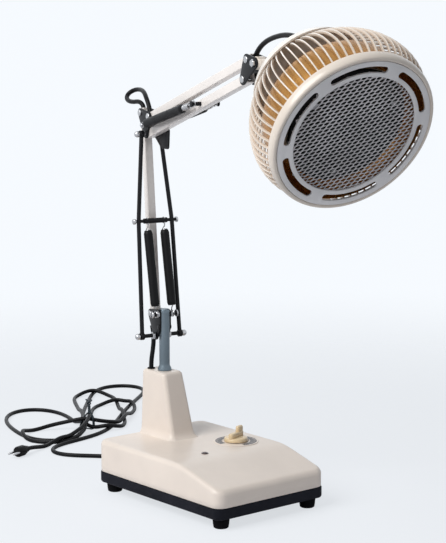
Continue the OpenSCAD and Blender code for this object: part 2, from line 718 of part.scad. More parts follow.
module plug_pins() color([0.8, 0.8, 0.82]) in_base() in_plug()
    for (x = [-5, 5]) translate([x, 0, 28]) cylinder(r = 2, h = 16);

bottom_tray();
rubber_feet();
base_housing();
base_screws();
ballast_plate();
dial_plate();
pilot_lamp();
timer_body();
terminal_block();
swivel_socket();
socket_screws();
cable_grommet();
cord_gland();
timer_shaft();
timer_knob();
stem();
lever_plates();
stem_rivet();
tube_pivot_pin();
rod_axle();
axle_nuts();
spring_bar();
spring_bar_nuts();
side_rods();
cross_bar();
cross_bar_nuts();
lower_tube();
lower_springs();
lower_spring_sleeves();
elbow_plate_near();
elbow_plate_far();
elbow_pins();
elbow_nuts();
lower_bar();
top_bar();
spring_pin();
upper_springs();
upper_spring_sleeves();
head_brackets();
bracket_pins();
tilt_bolt();
head_neck();
dome_cap();
cage_ribs();
cage_rim();
front_ring();
mesh_grille();
reflector();
emitter_plate();
heater_coil();
insulation_disc();
emitter_studs();
head_terminal();
pedestal_cable();
elbow_cable();
head_cable();
mains_cord();
cord_hank();
plug_body();
plug_pins();
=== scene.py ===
"""Looks of a table-top infrared heat lamp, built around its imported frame.

The lamp has a moulded base with a timer knob, a bare steel stem, a sprung double arm of square bars and a
caged round head with a mesh front. Shapes are surfaces worked out with numpy in millimetres, in the same
local places as the source part, and every finish is a procedural material.
"""

import logging
import math
from dataclasses import dataclass, field
from enum import Enum

import bmesh
import bpy
import numpy as np
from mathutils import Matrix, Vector
from numpy.typing import NDArray


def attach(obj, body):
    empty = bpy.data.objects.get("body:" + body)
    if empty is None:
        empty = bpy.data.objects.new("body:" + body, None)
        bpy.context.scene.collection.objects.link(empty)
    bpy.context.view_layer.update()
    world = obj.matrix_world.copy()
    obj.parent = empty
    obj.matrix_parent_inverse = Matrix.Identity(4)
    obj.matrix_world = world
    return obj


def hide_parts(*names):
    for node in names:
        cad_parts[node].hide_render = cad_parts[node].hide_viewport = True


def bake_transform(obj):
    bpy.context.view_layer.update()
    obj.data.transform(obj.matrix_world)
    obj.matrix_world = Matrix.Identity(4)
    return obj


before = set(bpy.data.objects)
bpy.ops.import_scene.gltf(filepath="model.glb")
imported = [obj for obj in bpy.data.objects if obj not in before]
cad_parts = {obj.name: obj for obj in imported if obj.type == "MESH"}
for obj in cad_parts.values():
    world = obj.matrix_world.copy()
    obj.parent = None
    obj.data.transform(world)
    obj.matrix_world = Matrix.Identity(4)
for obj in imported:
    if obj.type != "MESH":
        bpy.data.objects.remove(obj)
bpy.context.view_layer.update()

LOG = logging.getLogger("heat_lamp")
Array = NDArray[np.float64]
Triple = tuple[float, float, float]
Pair = tuple[float, float]
Points = Array | list[float] | list[list[float]] | list[Pair]
Node = bpy.types.Node
Tree = bpy.types.NodeTree
Piece = bpy.types.Object
MM = 0.001
TAU = 2.0 * math.pi


# ---------- places ----------


@dataclass(frozen=True)
class Place:
    """A local set of axes in millimetres: where its origin is and where its x, y and z point."""

    origin: Triple
    x: Triple
    y: Triple
    z: Triple

    def world(self, points: Points) -> Array:
        """Carries local points into the row frame: origin plus each coordinate times its axis."""
        axes = np.array([self.x, self.y, self.z], float)
        return np.asarray(points, float) @ axes + np.array(self.origin, float)

    def inner(self, at: Triple, x: Triple, z: Triple) -> "Place":
        """A place inside this one.

        Args:
            at: origin in this place's coordinates.
            x: rough direction of the new x axis.
            z: direction of the new z axis, kept as given.

        Returns:
            The new place, its axes square to each other and its hand the same.
        """
        away = np.array(z, float) / np.linalg.norm(z)
        side = np.array(x, float) - away * float(np.dot(x, away))
        side /= np.linalg.norm(side)
        third = np.cross(away, side)
        axes = np.array([self.x, self.y, self.z], float)
        spot = self.world([list(at)])[0]
        return Place(tuple(spot), tuple(side @ axes), tuple(third @ axes), tuple(away @ axes))


# Way the arm points on the table, and how far the head looks down
HEADING = math.radians(12.0)
DROOP = math.radians(29.5)
# The stem's place behind the middle of the base, and the face ring's middle in the arm's x and z
STEM_Y = 108.0
FACE_AT = (539.4, 573.7)
BASE_AT = (63.3, 127.7)
BASE = Place((*BASE_AT, 0.0), (1, 0, 0), (0, 1, 0), (0, 0, 1))
ARM = Place(
    (BASE_AT[0], BASE_AT[1] + STEM_Y, 0.0),
    (-math.sin(HEADING), -math.cos(HEADING), 0.0),
    (math.cos(HEADING), -math.sin(HEADING), 0.0),
    (0.0, 0.0, 1.0),
)
HEAD = ARM.inner(
    (FACE_AT[0], 0.0, FACE_AT[1]), (-math.sin(DROOP), 0.0, -math.cos(DROOP)),
    (math.cos(DROOP), 0.0, -math.sin(DROOP)),
)


def upright(x: float, y: float, z: float) -> Place:
    """A place in the base whose z points up."""
    return BASE.inner((x, y, z), (1, 0, 0), (0, 0, 1))


def across(spot: Pair, y: float = 0.0) -> Place:
    """A place at an arm point whose z runs sideways across the arm, along its +y."""
    return ARM.inner((spot[0], y, spot[1]), (1, 0, 0), (0, 1, 0))


def between(a: Pair, b: Pair, y: float = 0.0) -> tuple[Place, float]:
    """A place at arm point a whose z runs to arm point b, with x in the arm's plane, and its length."""
    run = np.array([b[0] - a[0], 0.0, b[1] - a[1]])
    length = float(np.linalg.norm(run))
    return ARM.inner((a[0], y, a[1]), (run[2], 0.0, -run[0]), tuple(run)), length


# ---------- surfaces ----------


def quads(rows: int, cols: int, wrap_rows: bool = False) -> NDArray[np.int64]:
    """Faces of a rows by cols grid of points: each joins a point to its right and upper neighbours."""
    r = np.arange(rows if wrap_rows else rows - 1)[:, None]
    c = np.arange(cols)[None, :]
    up, right = (r + 1) % rows, (c + 1) % cols
    return np.stack(
        [r * cols + c, r * cols + right, up * cols + right, up * cols + c], axis=-1,
    ).reshape(-1, 4)


@dataclass
class Shell:
    """Points and faces of one piece while it is put together."""

    points: list[Array] = field(default_factory=list)
    faces: list[list[list[int]]] = field(default_factory=list)
    count: int = 0

    def add(self, points: Array, faces: list[list[int]] | NDArray[np.int64]) -> "Shell":
        """Adds points and the faces that index them."""
        pts = np.asarray(points, float).reshape(-1, 3)
        self.faces.append([[int(i) + self.count for i in f] for f in faces])
        self.points.append(pts)
        self.count += len(pts)
        return self

    def loft(self, rings: Array, place: Place, caps: bool = True, ring_loop: bool = False) -> "Shell":
        """Joins a stack of rings into one skin.

        Args:
            rings: array of shape (rings, points, 3) in local millimetres.
            place: where the rings stand.
            caps: close the first and last ring with a flat face.
            ring_loop: join the last ring to the first, as in a tyre.

        Returns:
            This shell.
        """
        k, n = rings.shape[:2]
        faces: list[list[int]] = quads(k, n, wrap_rows=ring_loop).tolist()
        if caps and not ring_loop:
            faces.append(list(range(n - 1, -1, -1)))
            faces.append(list(range((k - 1) * n, k * n)))
        return self.add(place.world(rings.reshape(-1, 3)), faces)

    def lathe(self, profile: Points, place: Place, segments: int = 64, closed: bool = True) -> "Shell":
        """Turns a profile of [radius, height] about z: point = (r cos a, r sin a, h) for every angle a.

        Args:
            profile: the outline's points.
            place: where the turned shape stands.
            segments: steps round the axis.
            closed: the outline is a loop, as of a ring; otherwise it starts and ends on the axis.

        Returns:
            This shell.
        """
        line = np.asarray(profile, float)
        a = np.arange(segments) * TAU / segments
        r, h = line[:, :1], line[:, 1:]
        rings = np.stack([r * np.cos(a), r * np.sin(a), np.broadcast_to(h, (len(line), segments))], axis=-1)
        return self.loft(rings, place, caps=False, ring_loop=closed)

    def tube(self, path: Array, radius: float, place: Place, side: Points, sides: int) -> "Shell":
        """Carries a circle along a path and closes both ends.

        Each ring stands square to the path: its first axis is the path's direction crossed with a reference
        direction, and its second is square to both.

        Args:
            path: the centre line's points.
            radius: the tube's radius.
            place: where the path's points are measured.
            side: the reference direction, never along the path.
            sides: points in each ring.

        Returns:
            This shell.
        """
        t = directions(path)
        u = np.cross(t, np.asarray(side, float))
        u /= np.linalg.norm(u, axis=1, keepdims=True)
        v = np.cross(t, u)
        a = np.arange(sides) * TAU / sides
        turn = a[None, :, None]
        rings = path[:, None, :] + radius * (np.cos(turn) * u[:, None, :] + np.sin(turn) * v[:, None, :])
        return self.loft(rings, place)

    def make(self, name: str, smooth: float = 35.0) -> Piece:
        """Turns the collected shell into an object at the origin.

        Doubles are merged, so that seams and poles close, and then the faces are turned outwards.

        Args:
            name: the piece's name.
            smooth: edges bent by more than this many degrees stay sharp.

        Returns:
            The new object.
        """
        mesh = bpy.data.meshes.new(name)
        points = np.concatenate(self.points) * MM
        mesh.from_pydata(points.tolist(), [], [f for part in self.faces for f in part])
        tidy(mesh, smooth)
        piece = bpy.data.objects.new(name, mesh)
        bpy.context.scene.collection.objects.link(piece)
        return piece


def tidy(mesh: bpy.types.Mesh, smooth: float) -> None:
    """Merges doubles, drops faces without area, turns the faces outwards and shades them smooth."""
    work = bmesh.new()
    work.from_mesh(mesh)
    bmesh.ops.remove_doubles(work, verts=work.verts, dist=2e-6)
    bmesh.ops.dissolve_degenerate(work, edges=work.edges, dist=1e-6)
    bmesh.ops.recalc_face_normals(work, faces=work.faces)
    work.to_mesh(mesh)
    work.free()
    mesh.polygons.foreach_set("use_smooth", np.ones(len(mesh.polygons), bool))
    mesh.set_sharp_from_angle(angle=math.radians(smooth))
    mesh.update()


def directions(path: Array) -> Array:
    """Unit direction of a line at each of its points."""
    t = np.gradient(path, axis=0)
    return t / np.linalg.norm(t, axis=1, keepdims=True)


def hull_line(centres: Points, radius: float, steps: int = 96) -> Array:
    """Outline of a band pulled round circles.

    For every direction n the outline's point is the circle that reaches furthest along n, at its centre plus
    its radius times n.

    Args:
        centres: the circles' centres, shape (m, 2).
        radius: the circles' radius.
        steps: points in the outline.

    Returns:
        The outline, shape (steps, 2).
    """
    c = np.asarray(centres, float)
    n = polar(1.0, (np.arange(steps) + 0.5) * TAU / steps)
    best = np.argmax(n @ c.T + radius, axis=1)
    return c[best] + radius * n


def polar(radius: float | Array, angle: Array) -> Array:
    """Flat points at a radius and an angle about the origin."""
    return np.column_stack([radius * np.cos(angle), radius * np.sin(angle)])


def spin(angle: float) -> Array:
    """The matrix that turns rows of points by an angle about z."""
    c, s = math.cos(angle), math.sin(angle)
    return np.array([[c, s, 0.0], [-s, c, 0.0], [0.0, 0.0, 1.0]])


def at_height(line: Array, z: float | Array) -> Array:
    """A flat outline lifted to one height, or each of its points to its own."""
    return np.column_stack([line, np.full(len(line), z)])


def running_length(path: Array) -> Array:
    """Length of a line from its first point to each of its points."""
    return np.concatenate([[0.0], np.cumsum(np.linalg.norm(np.diff(path, axis=0), axis=1))])


def box_corners(w: float, d: float, r: float) -> Array:
    """Centres of the four corner circles of radius r of a w by d rounded rectangle."""
    return np.array(
        [[sx * (w / 2 - r), sy * (d / 2 - r)] for sx, sy in ((1, 1), (-1, 1), (-1, -1), (1, -1))]
    )


def round_box(w: float, d: float, r: float, steps: int) -> Array:
    """Outline of a w by d rectangle whose corners are circles of radius r."""
    return hull_line(box_corners(w, d, r), r, steps)


def slab_rings(
    centres: Points, radius: float, low: float, high: float, edge: float, steps: int = 96,
) -> Array:
    """Rings of a flat plate whose outline shrinks by edge (1 - cos t) near both faces."""
    t = np.linspace(0.0, math.pi / 2, 4)
    inset = np.concatenate([edge * (1 - np.cos(t[::-1])), edge * (1 - np.cos(t))])
    level = np.concatenate([low + edge * (1 - np.sin(t[::-1])), high - edge * (1 - np.sin(t))])
    return np.stack([at_height(hull_line(centres, radius - i, steps), z) for i, z in zip(inset, level)])


def bend_line(points: Points, per: int = 8) -> Array:
    """Smooth line through points: between two of them it is the cubic that keeps the neighbours' slopes."""
    p = np.asarray(points, float)
    q = np.vstack([2 * p[0] - p[1], p, 2 * p[-1] - p[-2]])
    t = np.linspace(0, 1, per, endpoint=False)[None, :, None]
    a, b, c, d = (q[i : len(q) - 3 + i][:, None, :] for i in range(4))
    cubic = 0.5 * (
        2 * b + (c - a) * t + (2 * a - 5 * b + 4 * c - d) * t**2 + (3 * b - a - 3 * c + d) * t**3
    )
    return np.vstack([cubic.reshape(-1, p.shape[1]), p[-1:]])


def even_line(path: Array, step: float) -> Array:
    """The same line with points an even step apart, found by its running length."""
    run = running_length(path)
    marks = np.linspace(0.0, run[-1], max(int(run[-1] / step), 2) + 1)
    return np.column_stack([np.interp(marks, run, path[:, i]) for i in range(path.shape[1])])


def calm_line(path: Array, reach: int) -> Array:
    """Running mean of a line over 2 reach + 1 points, with both ends kept where they are."""
    wide = np.vstack([np.repeat(path[:1], reach, 0), path, np.repeat(path[-1:], reach, 0)])
    kernel = np.ones(2 * reach + 1) / (2 * reach + 1)
    mean = np.column_stack([np.convolve(wide[:, i], kernel, mode="valid") for i in range(path.shape[1])])
    mean[0], mean[-1] = path[0], path[-1]
    return mean


def rounded_profile(points: Points, radius: float, steps: int = 4) -> Array:
    """A closed outline whose corners are quadratic curves between points a radius away."""
    p = np.asarray(points, float)
    back, ahead = np.roll(p, 1, 0) - p, np.roll(p, -1, 0) - p
    lb, la = np.linalg.norm(back, axis=1, keepdims=True), np.linalg.norm(ahead, axis=1, keepdims=True)
    a = p + back / lb * np.minimum(radius, lb * 0.45)
    b = p + ahead / la * np.minimum(radius, la * 0.45)
    t = np.linspace(0, 1, steps)[None, :, None]
    return ((1 - t) ** 2 * a[:, None] + 2 * t * (1 - t) * p[:, None] + t**2 * b[:, None]).reshape(-1, 2)


# ---------- finishes ----------


class Grain(Enum):
    """How a finish breaks up: what its small bumps come from."""

    MOULDED = "moulded"
    SPRAYED = "sprayed"
    BRUSHED = "brushed"
    CAST = "cast"
    PLAIN = "plain"


@dataclass(frozen=True)
class Finish:
    """One finish: its colour, how it shines, and what its surface does up close."""

    name: str
    colour: Triple
    rough: float
    metal: float = 0.0
    coat: float = 0.0
    grain: Grain = Grain.PLAIN
    grain_size: float = 900.0
    bump: float = 0.05
    tone: float = 0.05
    tone_size: float = 14.0
    dirt: Triple | None = None
    dirt_share: float = 0.0
    specular: float = 0.5


def link(tree: Tree, a: Node, out: str | int, b: Node, into: str | int) -> None:
    """Joins an output of node a to an input of node b."""
    tree.links.new(a.outputs[out], b.inputs[into])


def set_inputs(node: Node, values: dict[str, float | tuple[float, ...]]) -> None:
    """Sets inputs of a node by their names."""
    for name, value in values.items():
        node.inputs[name].default_value = value


def new_material(name: str) -> tuple[bpy.types.Material, Tree, Node, Node]:
    """A material with its node tree, its shader and a node of texture coordinates."""
    mat = bpy.data.materials.new(name)
    mat.use_nodes = True
    tree = mat.node_tree
    return mat, tree, tree.nodes["Principled BSDF"], tree.nodes.new("ShaderNodeTexCoord")


def add_noise(
    tree: Tree, source: Node, out: str | int, scale: float, detail: float, rough: float = 0.55,
) -> Node:
    """A noise pattern read at the coordinates that an output of the source gives."""
    node = tree.nodes.new("ShaderNodeTexNoise")
    set_inputs(node, {"Scale": scale, "Detail": detail, "Roughness": rough})
    link(tree, source, out, node, "Vector")
    return node


def add_length(tree: Tree, source: Node, out: str | int) -> Node:
    """The length of a vector. Its value is output number 1."""
    node = tree.nodes.new("ShaderNodeVectorMath")
    node.operation = "LENGTH"
    link(tree, source, out, node, 0)
    return node


def add_range(tree: Tree, source: Node, low: float, high: float, to_low: float, to_high: float) -> Node:
    """Maps a value from low..high to to_low..to_high, clamped."""
    node = tree.nodes.new("ShaderNodeMapRange")
    set_inputs(node, {"From Min": low, "From Max": high, "To Min": to_low, "To Max": to_high})
    link(tree, source, 0, node, "Value")
    return node


def add_mix(tree: Tree, a: tuple[float, ...] | Node, b: tuple[float, ...], factor: Node) -> Node:
    """Mixes two colours by a factor node. Its colour output is number 2."""
    node = tree.nodes.new("ShaderNodeMix")
    node.data_type = "RGBA"
    if isinstance(a, Node):
        link(tree, a, 2, node, 6)
    else:
        node.inputs[6].default_value = (*a, 1.0)
    node.inputs[7].default_value = (*b, 1.0)
    link(tree, factor, 0, node, 0)
    return node


class Paintbox:
    """Makes each finish's material once and hands it out."""

    def __init__(self) -> None:
        """Starts with no materials."""
        self.made: dict[str, bpy.types.Material] = {}

    def material(self, finish: Finish) -> bpy.types.Material:
        """The finish's material.

        Its colour drifts by a large soft noise, dirt gathers where a second noise is high, its roughness
        follows a third, and its grain is a fine bump.

        Args:
            finish: what the surface is.

        Returns:
            The material, made on first use.
        """
        if finish.name in self.made:
            return self.made[finish.name]
        mat, tree, shader, coords = new_material(finish.name)
        spot = tree.nodes.new("ShaderNodeMapping")
        link(tree, coords, "Object", spot, "Vector")
        if finish.grain is Grain.BRUSHED:
            spot.inputs["Scale"].default_value = (1.0, 1.0, 0.06)
        cloud = add_noise(tree, coords, "Object", finish.tone_size, 2.0)
        dark = tuple(c * (1.0 - finish.tone) for c in finish.colour)
        light = tuple(min(c * (1.0 + finish.tone), 1.0) for c in finish.colour)
        colour = add_mix(tree, dark, light, add_range(tree, cloud, 0.35, 0.65, 0.0, 1.0))
        if finish.dirt is not None:
            stain = add_noise(tree, coords, "Object", finish.tone_size * 4.0, 5.0, 0.65)
            share = add_range(tree, stain, 0.62, 0.8, 0.0, finish.dirt_share)
            colour = add_mix(tree, colour, finish.dirt, share)
        link(tree, colour, 2, shader, "Base Color")
        shine = add_noise(tree, coords, "Object", finish.tone_size * 6.0, 4.0)
        gloss = add_range(tree, shine, 0.3, 0.7, finish.rough * 0.85, min(finish.rough * 1.18, 1.0))
        link(tree, gloss, 0, shader, "Roughness")
        set_inputs(
            shader,
            {
                "Metallic": finish.metal,
                "Coat Weight": finish.coat,
                "Coat Roughness": 0.15,
                "Specular IOR Level": finish.specular,
            },
        )
        if finish.grain is not Grain.PLAIN:
            detail = 2.0 if finish.grain is Grain.SPRAYED else 4.0
            fine = add_noise(tree, spot, 0, finish.grain_size, detail)
            bump = tree.nodes.new("ShaderNodeBump")
            set_inputs(bump, {"Strength": finish.bump, "Distance": 0.0004})
            link(tree, fine, 0, bump, "Height")
            link(tree, bump, 0, shader, "Normal")
        self.made[finish.name] = mat
        return mat


CREAM = Finish(
    "cream_moulding", (0.83, 0.74, 0.665), 0.36, coat=0.1, grain=Grain.MOULDED, grain_size=1100, bump=0.12,
    tone=0.03, dirt=(0.55, 0.43, 0.33), dirt_share=0.12,
)
TRAY = Finish(
    "black_tray_moulding", (0.012, 0.013, 0.019), 0.5, specular=0.07, grain=Grain.MOULDED, grain_size=900,
    bump=0.2, tone=0.2,
)
RUBBER = Finish(
    "foot_rubber", (0.006, 0.006, 0.007), 0.85, specular=0.08, grain=Grain.CAST, grain_size=1500, bump=0.25,
    tone=0.15,
)
KNOB = Finish(
    "ivory_knob", (0.8, 0.62, 0.38), 0.28, coat=0.2, grain=Grain.MOULDED, grain_size=1300, bump=0.05,
    tone=0.04,
)
STEM = Finish(
    "blue_grey_steel", (0.17, 0.215, 0.25), 0.36, metal=0.75, grain=Grain.BRUSHED, grain_size=700,
    bump=0.15, tone=0.14, dirt=(0.1, 0.08, 0.07), dirt_share=0.3,
)
BLACK = Finish(
    "black_lacquer", (0.007, 0.007, 0.009), 0.32, specular=0.18, grain=Grain.SPRAYED, grain_size=700,
    bump=0.06, tone=0.3, dirt=(0.07, 0.06, 0.06), dirt_share=0.5,
)
WHITE = Finish(
    "white_lacquer", (0.88, 0.83, 0.8), 0.22, coat=0.3, grain=Grain.SPRAYED, grain_size=420, bump=0.08,
    tone=0.03, dirt=(0.5, 0.42, 0.36), dirt_share=0.25,
)
CHROME = Finish(
    "bright_chrome", (0.5, 0.5, 0.51), 0.18, metal=1.0, grain=Grain.SPRAYED, grain_size=300, bump=0.02,
    tone=0.05,
)
STEEL = Finish(
    "plain_steel", (0.45, 0.45, 0.47), 0.33, metal=1.0, grain=Grain.BRUSHED, grain_size=900, bump=0.12,
    tone=0.1,
)
SLEEVE = Finish(
    "shrunk_sleeve", (0.007, 0.007, 0.008), 0.4, specular=0.12, grain=Grain.MOULDED, grain_size=260,
    bump=0.35, tone=0.25,
)
ENAMEL = Finish(
    "head_enamel", (0.76, 0.68, 0.6), 0.24, coat=0.35, grain=Grain.SPRAYED, grain_size=420, bump=0.08,
    tone=0.03, dirt=(0.5, 0.38, 0.28), dirt_share=0.2,
)
GREY = Finish(
    "ring_enamel", (0.8, 0.79, 0.8), 0.34, coat=0.1, grain=Grain.SPRAYED, grain_size=600, bump=0.08,
    tone=0.06,
)
MESH = Finish(
    "mesh_metal", (0.72, 0.7, 0.72), 0.4, metal=0.35, grain=Grain.SPRAYED, grain_size=900, bump=0.1,
    tone=0.14,
)
GOLD = Finish(
    "gold_reflector", (0.46, 0.23, 0.06), 0.26, metal=0.85, grain=Grain.SPRAYED, grain_size=200, bump=0.04,
    tone=0.12,
)
EMITTER = Finish(
    "dark_emitter", (0.008, 0.008, 0.008), 0.85, specular=0.15, grain=Grain.CAST, grain_size=1400, bump=0.4,
    tone=0.3,
)
CORD = Finish(
    "cord_jacket", (0.006, 0.006, 0.007), 0.36, specular=0.13, grain=Grain.MOULDED, grain_size=500,
    bump=0.18, tone=0.2,
)
TIE = Finish("coated_tie", (0.02, 0.035, 0.045), 0.4, specular=0.3, tone=0.2)
IRON = Finish(
    "cast_iron", (0.06, 0.06, 0.065), 0.7, metal=0.6, grain=Grain.CAST, grain_size=500, bump=0.6, tone=0.2,
)
CERAMIC = Finish(
    "white_ceramic", (0.62, 0.6, 0.54), 0.6, grain=Grain.CAST, grain_size=700, bump=0.3, tone=0.05,
)
CASE = Finish(
    "timer_case", (0.45, 0.4, 0.28), 0.5, grain=Grain.MOULDED, grain_size=900, bump=0.1, tone=0.06,
)
COPPER = Finish(
    "heater_copper", (0.3, 0.14, 0.08), 0.45, metal=0.8, grain=Grain.BRUSHED, grain_size=700, bump=0.2,
    tone=0.25,
)
LENS = Finish("pilot_lens", (0.035, 0.006, 0.005), 0.12, coat=0.6, tone=0.1)


@dataclass
class Workshop:
    """What every sub-assembly needs: the paintbox, and the steps that set a piece in place."""

    paint: Paintbox

    def fit(self, piece: Piece, finish: Finish, body: str, slot: str, *nodes: str) -> Piece:
        """Paints a piece, fixes it to its body and lets it stand for CAD nodes.

        Args:
            piece: the finished object.
            finish: its surface.
            body: the CAD body it moves with.
            slot: the record's material slot; not used.
            nodes: the CAD nodes that it replaces.

        Returns:
            The piece.
        """
        piece.data.materials.append(self.paint.material(finish))
        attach(piece, body)
        if nodes:
            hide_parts(*nodes)
        LOG.info("%s rides on %s with %d faces", piece.name, body, len(piece.data.polygons))
        return piece

    def paint_node(self, finish: Finish, *nodes: str) -> None:
        """Gives CAD nodes that stay as they are a procedural finish."""
        for name in nodes:
            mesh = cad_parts[name].data
            mesh.materials.clear()
            mesh.materials.append(self.paint.material(finish))
            LOG.info("%s keeps its solid, finished as %s", name, finish.name)


def bolt_profile(radius: float, height: float, crown: float) -> Array:
    """Half outline of a turned head: flat foot, straight side with a soft edge, and a crowned top."""
    t = np.linspace(0, math.pi / 2, 7)
    top = polar(1.0, t) * [radius, crown] + [0.0, height - crown]
    return np.vstack([[0.0, 0.0], [radius, 0.0], top])


def ball_nut(radius: float) -> Array:
    """Half outline of a ball nut: a short skirt and three quarters of a circle."""
    t = np.linspace(-0.55, math.pi / 2, 12)
    ball = polar(radius, t) + [0.0, radius * 0.62]
    return np.vstack([[0.0, ball[0, 1]], ball])


def hexagon_rings(flat_radius: float, low: float, high: float) -> Array:
    """Rings of a hexagon nut with chamfered ends: the outline is cut back near both faces."""
    a = np.arange(48) * TAU / 48
    fold = (a + math.pi / 6) % (math.pi / 3) - math.pi / 6
    edge = flat_radius * math.cos(math.pi / 6) / np.cos(fold)
    levels = [(low, 0.9), (low + 0.35, 1.0), (high - 0.7, 1.0), (high, 0.84)]
    r = np.minimum(edge, flat_radius * 0.985)
    return np.stack([at_height(polar(r * k, a), z) for z, k in levels])


# ---------- the base ----------


# Where the arm's cable leaves the pedestal, in the base
GROMMET = (-8.0, 131.0)


@dataclass
class BaseUnit:
    """Black tray on rubber feet, the cream housing with its pedestal, and the timer controls."""

    shop: Workshop
    width: float = 205.0
    depth: float = 288.0
    foot_top: float = 14.7
    seam: float = 32.2
    deck: float = 80.5
    front: float = 56.7
    slope_y: float = -55.7
    corner: float = 12.0
    edge: float = 7.5
    wall_steps: int = 160
    pedestal_top: float = 179.0
    pedestal_half: Pair = (23.0, 19.0)
    pedestal_front: Pair = (60.0, 86.0)
    pedestal_rear: float = 141.5
    pedestal_corner: float = 7.0
    flare: float = 9.0
    flare_height: float = 15.0
    pedestal_edge: float = 5.0
    dial: Pair = (50.0, -2.0)
    dial_r: Pair = (20.2, 34.0)
    band_r: Pair = (21.5, 31.5)
    stroke_r: float = 27.5
    strokes: float = 24.0
    pilot: Pair = (-33.5, -30.0)
    gland: Triple = (45.0, 144.0, 46.0)
    knob_turn: float = math.radians(20.0)
    foot_at: Pair = (82.5, 126.0)

    def deck_height(self, y: Array) -> Array:
        """Height of the deck: level behind slope_y, straight down to the front, with the fold softened."""
        drop = (self.deck - self.front) / (self.depth / 2 + self.slope_y)
        soft = 7.0
        return self.deck - drop * soft * np.logaddexp(0.0, (self.slope_y - y) / soft)

    def build(self) -> None:
        """Makes every piece of the base."""
        self.build_tray()
        self.build_housing()
        self.build_feet()
        self.build_dial()
        self.build_pilot()
        self.build_outlets()
        self.shop.paint_node(IRON, "ballast_plate")
        self.shop.paint_node(STEEL, "base_screws", "swivel_socket", "socket_screws")
        self.shop.paint_node(CASE, "timer_body")
        self.shop.paint_node(CERAMIC, "terminal_block")

    def edge_rings(
        self, w: float, d: float, r: float, low: float, lip: float, bottom: float,
    ) -> list[Array]:
        """Rings of a rounded box wall from its bottom edge upwards, without the top."""
        t = np.linspace(0, math.pi / 2, 4)
        rings = []
        for inset, z in zip(bottom * (1 - np.sin(t)), low + bottom * (1 - np.cos(t))):
            line = round_box(w - 2 * inset, d - 2 * inset, max(r - inset, 1.0), self.wall_steps)
            rings.append(at_height(line, z))
        rings.append(at_height(round_box(w, d, r, self.wall_steps), lip))
        return rings

    def build_tray(self) -> None:
        """The tray: a rounded box wall on a flat floor, drawn in by a step at its top edge."""
        w, d = self.width - 1.0, self.depth - 1.0
        rings = self.edge_rings(w, d, self.corner, self.foot_top, self.seam - 1.3, 3.5)
        for inset, z in ((1.0, self.seam - 0.9), (1.2, self.seam)):
            line = round_box(w - 2 * inset, d - 2 * inset, self.corner - inset, self.wall_steps)
            rings.append(at_height(line, z))
        tray = Shell().loft(np.stack(rings), BASE)
        self.shop.fit(tray.make("tray"), TRAY, "base", "black_tray", "bottom_tray")

    def build_housing(self) -> None:
        """The housing: walls that roll over a round edge into the deck, and the pedestal that flares into it.

        Every ring is a rounded rectangle with one count of points. Over the edge the inset grows as
        R (1 - cos t) and the height falls short of the deck by R (1 - sin t); past it the inset grows
        evenly until the ring closes on the middle line.
        """
        n = 2 * self.wall_steps
        rings: list[Array] = []

        def ring(inset: float, short: float, level: float | None = None) -> None:
            """Adds one ring, at a height below the deck or at a fixed level."""
            w, d = self.width - 2 * inset, self.depth - 2 * inset
            r = max(self.corner + 4.0 - inset, 0.6)
            line = round_box(w, d, min(r, w / 2), n)
            loop = np.vstack([line, line[:1]])
            run = running_length(loop)
            marks = np.linspace(0, 1, n, endpoint=False) * run[-1]
            line = np.column_stack([np.interp(marks, run, loop[:, i]) for i in (0, 1)])
            rings.append(at_height(line, self.deck_height(line[:, 1]) - short if level is None else level))

        ring(3.0, 0.0, self.seam)
        ring(0.6, 0.0, self.seam)
        ring(0.0, 0.0, self.seam + 0.6)
        ring(0.0, 0.0, self.seam + 8.0)
        for t in np.linspace(0, math.pi / 2, 9):
            ring(self.edge * (1 - math.cos(t)), self.edge * (1 - math.sin(t)))
        for inset in np.linspace(self.edge, self.width / 2 - 0.2, 30)[1:]:
            ring(float(inset), 0.0)
        shell = Shell().loft(np.stack(rings), BASE, caps=True)
        self.add_pedestal(shell)
        self.shop.fit(shell.make("housing", 50.0), CREAM, "base", "cream_plastic", "base_housing")

    def add_pedestal(self, shell: Shell) -> None:
        """Adds the pedestal: rings between its foot and top outlines, a flare below and a round edge above.

        The front and the sides of the outline run in a straight line from foot to top. The flare pushes the
        front and sides outwards by a power of the nearness to the deck.
        """
        top_z, foot_z = self.pedestal_top, self.deck - 3.0
        rear, edge, corner = self.pedestal_rear, self.pedestal_edge, self.pedestal_corner
        foot = foot_z + np.array([0, 1.4, 2.6, 3.6, 5, 7, 9.5, 12.5, 16])
        rings = []
        for z in np.concatenate([foot, np.linspace(105, top_z - edge, 8)]):
            half, front = self.pedestal_walls(z)
            flare = self.flare * max(0.0, 1.0 - (z - foot_z) / self.flare_height) ** 2.6
            rings.append(self.pedestal_ring(half + flare, front - flare, rear, z, corner + flare * 0.6))
        for t in np.linspace(0, math.pi / 2, 7)[1:]:
            inset = edge * (1 - math.cos(t))
            z = top_z - edge + edge * math.sin(t)
            half, front = self.pedestal_walls(z)
            rings.append(
                self.pedestal_ring(half - inset, front + inset, rear - inset, z, corner - inset * 0.5)
            )
        shell.loft(np.stack(rings), BASE)

    def pedestal_walls(self, z: float) -> Pair:
        """Half width and front of the pedestal at a height: both run straight from the deck to the top."""
        share = (z - self.deck) / (self.pedestal_top - self.deck)
        half, front = self.pedestal_half, self.pedestal_front
        return half[0] + (half[1] - half[0]) * share, front[0] + (front[1] - front[0]) * share

    def pedestal_ring(self, half: float, front: float, rear: float, z: float, r: float) -> Array:
        """One level outline of the pedestal: a rounded rectangle from front to rear."""
        centres = np.array(
            [[half - r, front + r], [-half + r, front + r], [-half + r, rear - r], [half - r, rear - r]]
        )
        return at_height(hull_line(centres, r, 96), z)

